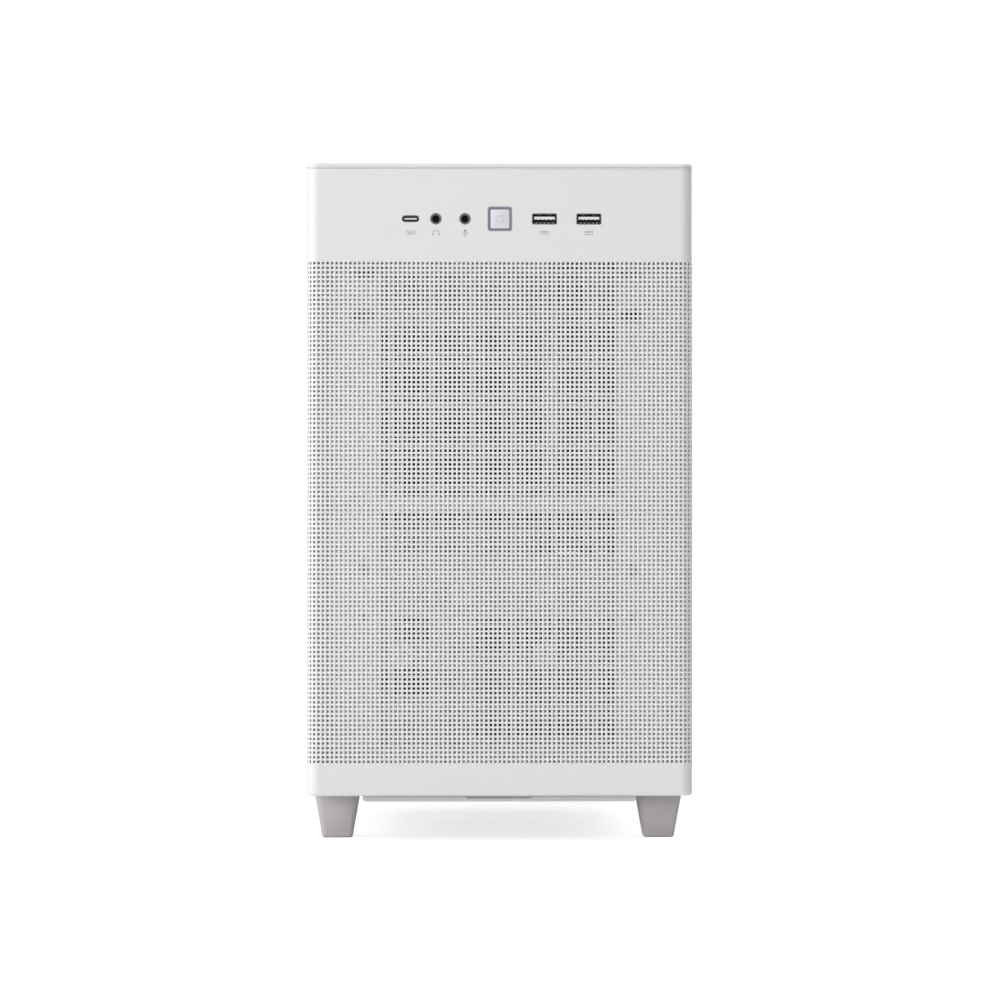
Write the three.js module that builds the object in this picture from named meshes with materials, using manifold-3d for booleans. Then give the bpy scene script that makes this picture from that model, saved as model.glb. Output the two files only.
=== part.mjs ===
// A desktop computer tower: a narrow sheet-metal case with perforated panels, its front ports, and
// the computer inside it. Millimetres, +Z up, the front faces -Y, and the feet stand on z = 0.

import * as THREE from "three";
import { mergeVertices } from "three/addons/utils/BufferGeometryUtils.js";
import Module from "manifold-3d";

const wasm = await Module();
wasm.setup();

// ---------------------------------------------------------------- driving dimensions

const WIDTH = 205;
const DEPTH = 460;
const HEIGHT = 360;
const FOOT_HEIGHT = 24;
const GAP = 0.3; // between pieces that touch
const SEAM = 0.5; // between outer panels

const FRONT_Y = -DEPTH / 2;
const BACK_Y = DEPTH / 2;
const SIDE_X = WIDTH / 2;

const TOP_SHEET = 1.5;
const FRONT_SHEET = 1.2;
const SIDE_SHEET = 1.0;
const FRONT_TRAY_DEPTH = 30;
const CORNER_RADIUS = 6;
const LIP = 9; // folded edges of the side panels
const BODY_TOP = HEIGHT - TOP_SHEET - SEAM;
const SIDE_FRONT_Y = FRONT_Y + FRONT_TRAY_DEPTH + SEAM;
const SIDE_BACK_Y = BACK_Y - 3;

const FRAME_SHEET = 1.2;
const FRAME_X = SIDE_X - 2.5; // half width of the chassis sheets
const FLOOR_Z = 25.5;
const FLOOR_TOP = FLOOR_Z + FRAME_SHEET;
const TOP_FRAME_Z = 352;
const INNER_WALL_Y = -197; // front face of the inner front wall
const REAR_WALL_Y = 224.3; // front face of the rear wall
const FRAME_BOTTOM = FLOOR_TOP + GAP;
const FRAME_TOP = TOP_FRAME_Z - GAP;

const FOOT = { x: 86.5, front: -186, rear: 190, top: 24, bottom: 16.5, neck: 5, pad: 1.8 };

const FILTER = { width: 146, barDepth: 6, frameWidth: 138, length: 312, front: -222 };
const RAIL = { x: 70.5, web: 1.5, lip: 3, bottom: 20.9, back: 95 };

const IO_Z = 330.6; // height of the row of front ports
const IO_X = { usbC: -47.5, headphone: -34, microphone: -18.5, button: 0, usbLeft: 23.7, usbRight: 47.3 };
const USB_A = { width: 13.1, height: 5.7, wall: 0.3, depth: 14.5, tongue: 1.9 };
const USB_C = { width: 8.94, height: 3.26, wall: 0.3, depth: 8.5, tongue: 0.7 };
const JACK = { ring: 6.1, bore: 3.6, depth: 14 };
const BUTTON = { bezel: 12.8, opening: 10.9, cap: 10.3 };
const PORT_FACE_Y = FRONT_Y + 0.4;

const BOARD = { x: 78.1, thickness: 1.6, y0: -20, y1: 223.5, z0: 64, z1: 308 };
const TRAY = { x: 86, front: -188 };
const CPU = { y: 139, z: 222 };
const SHIELD = { x0: 35.65, x1: 80.1, z0: 152.25, z1: 311, thickness: 0.8 };
const SLOT = { count: 4, first: 76, pitch: 20.32, x0: -46, x1: 76, height: 14, cover: 18.4 };

const PSU = { x: 75, y0: -165, y1: -25, z0: 42, z1: 128, wall: 1 };
const PSU_INLET = { x: -46, z: 84 };
const PLUG = { width: 23.8, height: 16.2, nose: 13 };
const ROCKER = { x: -46, z: 112, width: 19, height: 13, pivot: 2.5, swing: 18 };

const REAR_FAN = { x: -28, z: 228, size: 120, depth: 25 };
const INLET = { x: -62, z: 45, cavityX: 24.4, cavityZ: 16.8, depth: 16 };

// ---------------------------------------------------------------- finishes

function finish(color, roughness, metalness = 0) {
  return new THREE.MeshStandardMaterial({ color, roughness, metalness });
}

const WHITE_PAINT = finish(0xe3e2e0, 0.55);
const WHITE_PLASTIC = finish(0xdedddb, 0.5);
const GREY_PLASTIC = finish(0xaba6a4, 0.45);
const LAVENDER_PLASTIC = finish(0xb9b6be, 0.5);
const BLACK_PLASTIC = finish(0x1c1c1e, 0.5);
const BLACK_RUBBER = finish(0x2a2a2a, 0.85);
const PORT_METAL = finish(0x54565a, 0.35, 0.9);
const BARE_STEEL = finish(0xa9abad, 0.4, 0.9);
const ALUMINIUM = finish(0xb9bbbd, 0.35, 0.9);
const BOARD_GREEN = finish(0x1d2b26, 0.6);

// ---------------------------------------------------------------- solids

const X_AXIS = new THREE.Vector3(1, 0, 0);
const Y_AXIS = new THREE.Vector3(0, 1, 0);
const Z_AXIS = new THREE.Vector3(0, 0, 1);

// A manifold-3d solid from a closed three.js geometry.
function solid(geometry) {
  const bare = geometry.index ? geometry.clone() : geometry;
  bare.deleteAttribute("normal");
  bare.deleteAttribute("uv");
  const merged = mergeVertices(bare);
  return new wasm.Manifold(
    new wasm.Mesh({
      numProp: 3,
      vertProperties: new Float32Array(merged.attributes.position.array),
      triVerts: new Uint32Array(merged.index.array),
    }),
  );
}

function join(...solids) {
  return solids.flat().reduce((sum, next) => sum.add(next));
}

function cut(body, ...tools) {
  return tools.flat().reduce((rest, tool) => rest.subtract(tool), body);
}

// A box between two corners.
function block(x0, x1, y0, y1, z0, z1) {
  const box = new THREE.BoxGeometry(x1 - x0, y1 - y0, z1 - z0);
  return solid(box.translate((x0 + x1) / 2, (y0 + y1) / 2, (z0 + z1) / 2));
}

// An outline with holes, extruded along an axis. It is drawn in (x, y) for "z", (x, z) for "y" and
// (y, z) for "x". A quarter arc gets two facets for each curve segment.
function slab(shape, axis, from, to, curveSegments = 1) {
  const options = { depth: to - from, bevelEnabled: false, curveSegments };
  const geometry = new THREE.ExtrudeGeometry(shape, options);
  if (axis === "z") geometry.translate(0, 0, from);
  if (axis === "y") geometry.rotateX(Math.PI / 2).translate(0, to, 0);
  if (axis === "x") {
    geometry.applyMatrix4(new THREE.Matrix4().makeBasis(Y_AXIS, Z_AXIS, X_AXIS)).translate(from, 0, 0);
  }
  return solid(geometry);
}

function rectangle(path, u0, u1, v0, v1) {
  path.moveTo(u0, v0).lineTo(u1, v0).lineTo(u1, v1).lineTo(u0, v1).closePath();
  return path;
}

function rounded(path, u0, u1, v0, v1, radius) {
  const quarter = Math.PI / 2;
  path.absarc(u1 - radius, v0 + radius, radius, -quarter, 0);
  path.absarc(u1 - radius, v1 - radius, radius, 0, quarter);
  path.absarc(u0 + radius, v1 - radius, radius, quarter, 2 * quarter);
  path.absarc(u0 + radius, v0 + radius, radius, 2 * quarter, 3 * quarter);
  path.closePath();
  return path;
}

function circle(path, u, v, radius) {
  return rounded(path, u - radius, u + radius, v - radius, v + radius, radius);
}

const rectShape = (...bounds) => rectangle(new THREE.Shape(), ...bounds);
const roundedShape = (...bounds) => rounded(new THREE.Shape(), ...bounds);
const circleShape = (...place) => circle(new THREE.Shape(), ...place);
const rectHole = (...bounds) => rectangle(new THREE.Path(), ...bounds);
const roundedHole = (...bounds) => rounded(new THREE.Path(), ...bounds);
const circleHole = (...place) => circle(new THREE.Path(), ...place);

// A round rod along an axis, centred on (u, v) of the plane across it, with 8 facets a segment.
function rod(axis, u, v, radius, from, to, curveSegments = 1) {
  return slab(circleShape(u, v, radius), axis, from, to, curveSegments);
}

// ---------------------------------------------------------------- the assembly

const tower = new THREE.Group();

function add(name, manifold, material) {
  const { numProp, vertProperties, triVerts } = manifold.getMesh();
  const corners = new THREE.InterleavedBuffer(vertProperties, numProp);
  const geometry = new THREE.BufferGeometry();
  geometry.setAttribute("position", new THREE.InterleavedBufferAttribute(corners, 3, 0));
  geometry.setIndex(new THREE.BufferAttribute(triVerts, 1));
  const flat = geometry.toNonIndexed();
  flat.computeVertexNormals();
  const mesh = new THREE.Mesh(flat, material.clone());
  mesh.name = name;
  tower.add(mesh);
  return mesh;
}

// ---------------------------------------------------------------- outer panels

// A plan outline with rounded front corners and square rear ones.
function roundFrontPlan(half, front, back, radius) {
  const plan = new THREE.Shape();
  plan.absarc(-half + radius, front + radius, radius, Math.PI, 1.5 * Math.PI);
  plan.absarc(half - radius, front + radius, radius, 1.5 * Math.PI, 2 * Math.PI);
  plan.lineTo(half, back).lineTo(-half, back).closePath();
  return plan;
}

const CUT_CLEARANCE = 0.3;

// What the front panel is cut away for, one tool for each port and one for the button's bezel.
function frontCutouts(from, to, clearance) {
  const usb = (x) => {
    const half = USB_A.width / 2 + clearance;
    const rise = USB_A.height / 2 + clearance;
    return slab(roundedShape(x - half, x + half, IO_Z - rise, IO_Z + rise, 0.6), "y", from, to);
  };
  const jack = (x) => rod("y", x, IO_Z, JACK.ring / 2 + clearance, from, to, 2);
  const cHalf = USB_C.width / 2 + clearance;
  const cRise = USB_C.height / 2 + clearance;
  const bezel = BUTTON.bezel / 2 + clearance;
  return [
    slab(
      roundedShape(IO_X.usbC - cHalf, IO_X.usbC + cHalf, IO_Z - cRise, IO_Z + cRise, cRise - 0.01),
      "y",
      from,
      to,
      2,
    ),
    jack(IO_X.headphone),
    jack(IO_X.microphone),
    slab(
      roundedShape(IO_X.button - bezel, IO_X.button + bezel, IO_Z - bezel, IO_Z + bezel, 1.2),
      "y",
      from,
      to,
    ),
    usb(IO_X.usbLeft),
    usb(IO_X.usbRight),
  ];
}

function frontPanel() {
  const back = FRONT_Y + FRONT_TRAY_DEPTH;
  const outer = roundFrontPlan(SIDE_X, FRONT_Y, back, CORNER_RADIUS);
  const inner = roundFrontPlan(
    SIDE_X - FRONT_SHEET,
    FRONT_Y + FRONT_SHEET,
    back + 1,
    CORNER_RADIUS - FRONT_SHEET,
  );
  const shell = cut(
    slab(outer, "z", FOOT_HEIGHT, BODY_TOP, 3),
    slab(inner, "z", FOOT_HEIGHT + FRONT_SHEET, BODY_TOP - FRONT_SHEET, 3),
  );
  return cut(shell, frontCutouts(FRONT_Y - 1, FRONT_Y + 3, CUT_CLEARANCE));
}

function topPanel() {
  const plan = roundFrontPlan(SIDE_X, FRONT_Y, BACK_Y, CORNER_RADIUS);
  return slab(plan, "z", HEIGHT - TOP_SHEET, HEIGHT, 3);
}

// A flat tray with its edges folded inwards; side is -1 for the left panel and 1 for the right.
function sidePanel(side) {
  const faces = [SIDE_X, SIDE_X - SIDE_SHEET, SIDE_X - SIDE_SHEET - LIP].map((x) => side * x);
  const span = (a, b) => [Math.min(a, b), Math.max(a, b)];
  const tray = block(...span(faces[0], faces[2]), SIDE_FRONT_Y, SIDE_BACK_Y, FOOT_HEIGHT, BODY_TOP);
  const hollow = block(
    ...span(faces[1], faces[2] - side),
    SIDE_FRONT_Y + SIDE_SHEET,
    SIDE_BACK_Y - SIDE_SHEET,
    FOOT_HEIGHT + SIDE_SHEET,
    BODY_TOP - SIDE_SHEET,
  );
  return cut(tray, hollow);
}

add("front_panel", frontPanel(), WHITE_PAINT);
add("top_panel", topPanel(), WHITE_PAINT);
add("left_side_panel", sidePanel(-1), WHITE_PAINT);
add("right_side_panel", sidePanel(1), WHITE_PAINT);

// ---------------------------------------------------------------- chassis

// Long air slots across x, one row every pitch.
function airSlots(x0, x1, y0, pitch, count, width) {
  return Array.from({ length: count }, (_, i) => rectHole(x0, x1, y0 + i * pitch, y0 + i * pitch + width));
}

function chassisFloor() {
  const sheet = rectShape(-FRAME_X, FRAME_X, INNER_WALL_Y, REAR_WALL_Y - GAP);
  sheet.holes.push(...airSlots(-56, 56, -152, 12, 10, 7));
  sheet.holes.push(...airSlots(-56, 56, -6, 12, 8, 7));
  const flange = (x) => block(x, x + FRAME_SHEET, INNER_WALL_Y + 4, REAR_WALL_Y - 4, FLOOR_Z, 36);
  const rail = (side) => {
    const inner = side * RAIL.x;
    const outer = side * (RAIL.x + RAIL.web);
    const tip = side * (RAIL.x - RAIL.lip);
    const [a, b] = [Math.min(inner, outer), Math.max(inner, outer)];
    const [c, d] = [Math.min(tip, outer), Math.max(tip, outer)];
    return [
      block(a, b, INNER_WALL_Y, RAIL.back, RAIL.bottom, FLOOR_Z + 0.5),
      block(c, d, INNER_WALL_Y, RAIL.back, RAIL.bottom, RAIL.bottom + 0.7),
    ];
  };
  return join(
    slab(sheet, "z", FLOOR_Z, FLOOR_TOP),
    flange(-FRAME_X),
    flange(FRAME_X - FRAME_SHEET),
    rail(-1),
    rail(1),
  );
}

// The inner front wall carries two square fan vents. Their fine square perforation is left as sheet.
function innerFrontWall() {
  const wall = rectShape(-FRAME_X, FRAME_X, FRAME_BOTTOM, FRAME_TOP);
  for (const side of [-1, 1]) {
    wall.holes.push(roundedHole(side * 72 - 6, side * 72 + 6, 301, 306, 2.4));
    wall.holes.push(roundedHole(side * 72 - 6, side * 72 + 6, 277, 284, 3.4));
    wall.holes.push(roundedHole(side * 72 - 2.4, side * 72 + 2.4, 140, 147, 2.3));
    wall.holes.push(circleHole(side * 72, 118, 2));
  }
  wall.holes.push(rectHole(30, 50, 309, 321)); // for the front port cable
  for (const [x, z] of [[-19.5, 131.5], [25.5, 131.5], [-51.5, 98.5], [25.5, 98.5]]) {
    wall.holes.push(circleHole(x, z, 2));
  }
  return slab(wall, "y", INNER_WALL_Y, INNER_WALL_Y + FRAME_SHEET);
}

// The vent for the rear fan is finely perforated, and is left as sheet too.
function rearWall() {
  const wall = rectShape(-FRAME_X, FRAME_X, FRAME_BOTTOM, FRAME_TOP);
  wall.holes.push(rectHole(SHIELD.x0, SHIELD.x1, SHIELD.z0, SHIELD.z1));
  for (let i = 0; i < SLOT.count; i += 1) {
    const z = SLOT.first + i * SLOT.pitch;
    wall.holes.push(rectHole(SLOT.x0 + 8, SLOT.x1 - 10, z - SLOT.height / 2, z + SLOT.height / 2));
  }
  wall.holes.push(rectHole(INLET.x - 14.6, INLET.x + 14.6, INLET.z - 10.6, INLET.z + 10.6));
  return slab(wall, "y", REAR_WALL_Y, REAR_WALL_Y + FRAME_SHEET);
}

function motherboardTray() {
  const sheet = rectShape(TRAY.front, REAR_WALL_Y - GAP, FRAME_BOTTOM, FRAME_TOP);
  sheet.holes.push(roundedHole(-46, -28, 147, 191, 8.9));
  sheet.holes.push(roundedHole(180, 214, 322, 340, 8.9));
  const standoffs = [-8, 110, 212].flatMap((y) =>
    [72, 150, 300].map((z) => rod("x", y, z, 2.6, TRAY.x - 6, TRAY.x + 0.5)),
  );
  return join(slab(sheet, "x", TRAY.x, TRAY.x + FRAME_SHEET), standoffs);
}

function topFrame() {
  const ring = rectShape(-FRAME_X, FRAME_X, INNER_WALL_Y, REAR_WALL_Y - GAP);
  ring.holes.push(roundedHole(-66, 66, -160, 150, 5));
  return slab(ring, "z", TOP_FRAME_Z, TOP_FRAME_Z + FRAME_SHEET);
}

add("chassis_floor", chassisFloor(), WHITE_PAINT);
add("front_inner_wall", innerFrontWall(), WHITE_PAINT);
add("rear_wall", rearWall(), WHITE_PAINT);
add("motherboard_tray", motherboardTray(), WHITE_PAINT);
add("top_frame", topFrame(), WHITE_PAINT);

// ---------------------------------------------------------------- feet and dust filter

// A square block with chamfered corners that narrows from top to bottom, centred on (x, y).
function taperedBlock(x, y, z0, z1, bottom, top) {
  const half = top / 2;
  const chamfer = half * 0.7;
  const plan = new THREE.Shape();
  const corners = [[half, chamfer], [chamfer, half], [-chamfer, half], [-half, chamfer]];
  plan.setFromPoints([
    ...corners.map(([u, v]) => new THREE.Vector2(u, v)),
    ...corners.map(([u, v]) => new THREE.Vector2(-u, -v)),
  ]);
  const options = { depth: z1 - z0, bevelEnabled: false };
  const geometry = new THREE.ExtrudeGeometry(plan, options);
  const points = geometry.attributes.position;
  for (let i = 0; i < points.count; i += 1) {
    const share = points.getZ(i) / (z1 - z0);
    const scale = (bottom + (top - bottom) * share) / top;
    points.setX(i, points.getX(i) * scale);
    points.setY(i, points.getY(i) * scale);
  }
  return solid(geometry.translate(x, y, z0));
}

function addFoot(place, x, y) {
  const shoulder = FOOT_HEIGHT - GAP;
  const padTop = FOOT.pad + GAP;
  const body = taperedBlock(x, y, padTop, shoulder, FOOT.bottom + 0.4, FOOT.top);
  const neck = rod("z", x, y, FOOT.neck, shoulder - 0.5, FLOOR_Z - GAP);
  add("foot_" + place, join(body, neck), GREY_PLASTIC);
  add("foot_pad_" + place, taperedBlock(x, y, 0, FOOT.pad, FOOT.bottom - 1, FOOT.bottom), BLACK_RUBBER);
}

addFoot("front_left", -FOOT.x, FOOT.front);
addFoot("front_right", FOOT.x, FOOT.front);
addFoot("rear_left", -FOOT.x, FOOT.rear);
addFoot("rear_right", FOOT.x, FOOT.rear);

// A slide-out frame with its membrane, and a front bar with a recess for the finger.
function dustFilter() {
  const barTop = FOOT_HEIGHT - 0.4;
  const half = FILTER.width / 2;
  const frameHalf = FILTER.frameWidth / 2 - 0.5;
  const barBack = FILTER.front + FILTER.barDepth;
  const back = FILTER.front + FILTER.length;
  const bar = slab(roundedShape(-half, half, barTop - 2.9, barTop, 1.2), "y", FILTER.front, barBack);
  const recess = block(-18, 17, FILTER.front - 1, FILTER.front + 2, barTop - 1.2, barTop + 1);
  const frame = rectShape(-frameHalf, frameHalf, barBack - 1, back);
  const pane = (back - barBack - 6) / 3;
  for (let i = 0; i < 3; i += 1) {
    const start = barBack + 6 + i * pane;
    frame.holes.push(rectHole(-frameHalf + 6, frameHalf - 6, start, start + pane - 6));
  }
  const membrane = block(-frameHalf + 3, frameHalf - 3, barBack, back - 3, 22.9, 23.3);
  return join(cut(bar, recess), slab(frame, "z", 22, 23.3), membrane);
}

add("dust_filter", dustFilter(), LAVENDER_PLASTIC);

// ---------------------------------------------------------------- front ports and button

const IO_PLATE = { y0: -228.4, y1: -226.6, half: 60, z0: 320, z1: 341.5 };
const IO_SHELF = { z0: 322.3, z1: 324.3 };
const IO_BOARD_TOP = IO_SHELF.z1 + GAP + 1.6;
const PORT_BOTTOM = IO_BOARD_TOP + GAP;

function ioCarrier() {
  const plate = block(-IO_PLATE.half, IO_PLATE.half, IO_PLATE.y0, IO_PLATE.y1, IO_PLATE.z0, IO_PLATE.z1);
  const back = INNER_WALL_Y - GAP;
  const shelf = block(-IO_PLATE.half, IO_PLATE.half, IO_PLATE.y1 - 0.5, back, IO_SHELF.z0, IO_SHELF.z1);
  const foot = block(-IO_PLATE.half, 26, back - 2, back, 304, IO_SHELF.z1);
  const openings = frontCutouts(IO_PLATE.y0 - 1, IO_PLATE.y1 + 0.6, CUT_CLEARANCE);
  return join(cut(plate, openings), shelf, foot);
}

// A metal shell that is open at the front, with a tongue in it and a body that stands on the board.
function usbPort(x, size, tongueRise, cornerRadius) {
  const front = PORT_FACE_Y;
  const back = front + size.depth;
  const half = size.width / 2;
  const rise = size.height / 2;
  const hollowHalf = half - size.wall;
  const hollowRise = rise - size.wall;
  const shell = slab(
    roundedShape(x - half, x + half, IO_Z - rise, IO_Z + rise, cornerRadius),
    "y",
    front,
    back,
  );
  const hollow = slab(
    roundedShape(
      x - hollowHalf,
      x + hollowHalf,
      IO_Z - hollowRise,
      IO_Z + hollowRise,
      cornerRadius - size.wall,
    ),
    "y",
    front - 1,
    back - 1,
  );
  const tongue = block(
    x - hollowHalf + 0.8,
    x + hollowHalf - 0.8,
    front + 0.8,
    back - 0.5,
    IO_Z + tongueRise - size.tongue / 2,
    IO_Z + tongueRise + size.tongue / 2,
  );
  const body = block(x - half, x + half, back - 1, back + 3, PORT_BOTTOM, IO_Z + rise);
  return join(cut(shell, hollow), tongue, body);
}

function audioJack(x) {
  const shoulder = IO_PLATE.y1 + GAP;
  const barrel = rod("y", x, IO_Z, JACK.ring / 2, PORT_FACE_Y, shoulder + 0.5, 2);
  const housing = block(x - 3.2, x + 3.2, shoulder, PORT_FACE_Y + JACK.depth + 2, PORT_BOTTOM, IO_Z + 3.4);
  const bore = rod("y", x, IO_Z, JACK.bore / 2, PORT_FACE_Y - 1, PORT_FACE_Y + JACK.depth, 2);
  return cut(join(barrel, housing), bore);
}

function squareRing(half, radius, holeHalf, holeRadius, from, to) {
  const ring = roundedShape(-half, half, IO_Z - half, IO_Z + half, radius);
  ring.holes.push(roundedHole(-holeHalf, holeHalf, IO_Z - holeHalf, IO_Z + holeHalf, holeRadius));
  return slab(ring, "y", from, to);
}

// The cap, with a stem that reaches back towards the switch.
function powerButton() {
  const half = BUTTON.cap / 2;
  const face = FRONT_Y + 0.3;
  const cap = slab(roundedShape(-half, half, IO_Z - half, IO_Z + half, 0.8), "y", face, face + 5);
  const stem = block(-2, 2, face + 4, -219.5, IO_Z - 2, IO_Z + 2);
  return join(cap, stem);
}

add("front_io_carrier", ioCarrier(), WHITE_PLASTIC);
add("front_io_board", block(-58, 58, -222, -200, IO_SHELF.z1 + GAP, IO_BOARD_TOP), BOARD_GREEN);
add("power_button", powerButton(), WHITE_PLASTIC);
add(
  "power_button_bezel",
  squareRing(BUTTON.bezel / 2, 1, BUTTON.opening / 2, 0.9, FRONT_Y + 0.2, IO_PLATE.y1 - 0.8),
  LAVENDER_PLASTIC,
);
add("power_switch", block(-3, 3, -218, -213, PORT_BOTTOM, IO_Z + 3.2), BLACK_PLASTIC);
add("usb_c_port", usbPort(IO_X.usbC, USB_C, 0, USB_C.height / 2 - 0.01), PORT_METAL);
add("headphone_jack", audioJack(IO_X.headphone), GREY_PLASTIC);
add("microphone_jack", audioJack(IO_X.microphone), GREY_PLASTIC);
add("usb_a_port_left", usbPort(IO_X.usbLeft, USB_A, 0.5, 0.5), PORT_METAL);
add("usb_a_port_right", usbPort(IO_X.usbRight, USB_A, 0.5, 0.5), PORT_METAL);

// ---------------------------------------------------------------- motherboard and what is on it

const SOCKET_FACE = BOARD.x - 3.5;
const SSD = { x0: 72, x1: 74.5, y: 38, z: 156 };
const DIMM = { y: [67, 77], z0: 157, z1: 293, slotHeight: 8 };

// The board with its soldered parts: socket, memory slots, card slot, power connectors, heatsinks.
function motherboard() {
  const { x, thickness, y0, y1, z0, z1 } = BOARD;
  const on = (height, a, b, c, d) => block(x - height, x + 0.5, a, b, c, d);
  const parts = [
    on(3.5, CPU.y - 24, CPU.y + 24, CPU.z - 24, CPU.z + 24),
    on(9, 98, 218, 142, 148), // card slot
    on(11, 60, 84, 96, 120), // chipset heatsink
    on(18, 186, 200, 180, 296), // voltage regulator heatsink
    on(18, 104, 176, 292, 303),
    on(12, BOARD.y0 + 2, BOARD.y0 + 12, 190, 242), // main power connector
    on(12, 196, 214, 298, 307.5), // processor power connector
    on(8, BOARD.y0 + 2, BOARD.y0 + 8, 140, 160), // front port connector
    on(7, 88, 94, 280, 290), // fan connectors
    on(7, 180, 186, 168, 178),
    on(8, BOARD.y0, BOARD.y0 + 16, 84, 112), // drive connectors
    on(BOARD.x - SSD.x1 - GAP, SSD.y, SSD.y + 22, SSD.z, SSD.z + 8), // solid state drive's connector
    on(BOARD.x - SSD.x1 - GAP, SSD.y + 8, SSD.y + 14, SSD.z + 74, SSD.z + 80),
  ];
  for (const y of DIMM.y) {
    parts.push(
      cut(
        on(DIMM.slotHeight, y - 3, y + 3, DIMM.z0 - 3, DIMM.z1 + 3),
        block(x - DIMM.slotHeight - 1, x - 2, y - 1, y + 1, DIMM.z0 - 0.5, DIMM.z1 + 0.5),
      ),
    );
  }
  for (let i = 0; i < 5; i += 1) {
    parts.push(rod("x", 181.5, 196 + i * 12, 3, x - 9, x + 0.5)); // capacitors
  }
  return join(block(x, x + thickness, y0, y1, z0, z1), parts);
}

function memoryModule(y) {
  const edge = BOARD.x - 2 - GAP;
  return block(edge - 33, edge, y - 0.65, y + 0.65, DIMM.z0, DIMM.z1);
}

const COOLER = { face: 66, base: 5, fins: 30, half: 46, finCount: 15, fin: 1.4 };
const PROCESSOR_FACE = 71.6;

// A base on the processor, fins that stand on it, and four legs down to the board.
function coolerHeatsink() {
  const { face, base, fins, half, finCount, fin } = COOLER;
  const foundation = block(face, face + base, CPU.y - 30, CPU.y + 30, CPU.z - 30, CPU.z + 30);
  const deck = block(face - 3, face + 0.5, CPU.y - half, CPU.y + half, CPU.z - half, CPU.z + half);
  const pitch = (2 * half - fin) / (finCount - 1);
  const blades = Array.from({ length: finCount }, (_, i) => {
    const y = CPU.y - half + i * pitch;
    return block(face - fins, face - 2, y, y + fin, CPU.z - half, CPU.z + half);
  });
  const legs = [-37.5, 37.5].flatMap((dy) =>
    [-37.5, 37.5].map((dz) => rod("x", CPU.y + dy, CPU.z + dz, 3, face - 1, BOARD.x - GAP)),
  );
  return join(foundation, deck, blades, legs);
}

add("motherboard", motherboard(), BOARD_GREEN);
add(
  "processor",
  block(PROCESSOR_FACE, SOCKET_FACE - GAP, CPU.y - 20, CPU.y + 20, CPU.z - 20, CPU.z + 20),
  ALUMINIUM,
);
DIMM.y.forEach((y, i) => add("memory_module_" + (i + 1), memoryModule(y), BLACK_PLASTIC));
add("cooler_heatsink", coolerHeatsink(), ALUMINIUM);
add("solid_state_drive", block(SSD.x0, SSD.x1, SSD.y, SSD.y + 22, SSD.z, SSD.z + 80), BLACK_PLASTIC);

// ---------------------------------------------------------------- fans

const FAN_WALL = 2.5; // between the bore and the edge of the frame
const HUB_RATIO = 0.17; // hub radius over frame size
const SHAFT = 1.5;
const MOTOR = 4; // thickness of the motor plate at the back of a frame

// A fan frame around the Z axis, its front face at z = 0 and its motor plate at the back.
function fanFrame(size, depth) {
  const half = size / 2;
  const outline = roundedShape(-half, half, -half, half, size * 0.05);
  outline.holes.push(circleHole(0, 0, half - FAN_WALL));
  const hub = size * HUB_RATIO;
  const plate = circleShape(0, 0, hub);
  plate.holes.push(circleHole(0, 0, SHAFT + 0.5));
  const strut = block(hub - 2, half - FAN_WALL + 1, -2, 2, -depth, -depth + MOTOR);
  const struts = [45, 135, 225, 315].map((turn) => strut.rotate([0, 0, turn]));
  return join(slab(outline, "z", -depth, 0, 3), slab(plate, "z", -depth, -depth + MOTOR), struts);
}

// Hub, shaft and curved blades around the Z axis, inside the frame of the same size.
function fanRotor(size, depth, blades) {
  const hub = size * HUB_RATIO;
  const tip = size / 2 - FAN_WALL - 1.5;
  const back = -depth + MOTOR + 0.8;
  const front = -1.5;
  const chord = (front - back) * 1.25;
  const section = new THREE.Shape();
  section.moveTo(-chord / 2, -0.2);
  section.quadraticCurveTo(0, chord * 0.16, chord / 2, -0.2);
  section.lineTo(chord / 2, 0.6);
  section.quadraticCurveTo(0, chord * 0.16 + 1.6, -chord / 2, 0.6);
  section.closePath();
  const flat = slab(section, "x", hub - 1.5, tip, 3);
  const blade = flat.rotate([48, 0, 0]).translate([0, 0, (front + back) / 2]);
  const ring = Array.from({ length: blades }, (_, i) => blade.rotate([0, 0, (360 * i) / blades]));
  const body = join(
    rod("z", 0, 0, hub, back, front, 2),
    rod("z", 0, 0, SHAFT, -depth + 0.5, back + 1),
    ring,
  );
  return body.intersect(rod("z", 0, 0, tip, -depth, front, 3));
}

// A fan whose air side looks along the direction, with its front face centre at the place.
function addFan(name, size, depth, blades, place, direction, frameFinish, rotorFinish) {
  const turn = new THREE.Quaternion().setFromUnitVectors(Z_AXIS, direction);
  const frame = add(name + "_frame", fanFrame(size, depth), frameFinish);
  const rotor = add(name + "_rotor", fanRotor(size, depth, blades), rotorFinish);
  for (const mesh of [frame, rotor]) {
    mesh.quaternion.copy(turn);
    mesh.position.set(...place);
  }
}

addFan(
  "cooler_fan",
  92,
  20,
  7,
  [COOLER.face - COOLER.fins - GAP - 20, CPU.y, CPU.z],
  new THREE.Vector3(-1, 0, 0),
  BLACK_PLASTIC,
  BLACK_PLASTIC,
);
addFan(
  "rear_fan",
  REAR_FAN.size,
  REAR_FAN.depth,
  9,
  [REAR_FAN.x, REAR_WALL_Y - GAP - REAR_FAN.depth, REAR_FAN.z],
  new THREE.Vector3(0, -1, 0),
  BLACK_PLASTIC,
  BLACK_PLASTIC,
);
addFan(
  "psu_fan",
  120,
  25,
  9,
  [0, (PSU.y0 + PSU.y1) / 2, PSU.z0 + PSU.wall + GAP],
  new THREE.Vector3(0, 0, -1),
  BLACK_PLASTIC,
  BLACK_PLASTIC,
);

// ---------------------------------------------------------------- power supply

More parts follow.
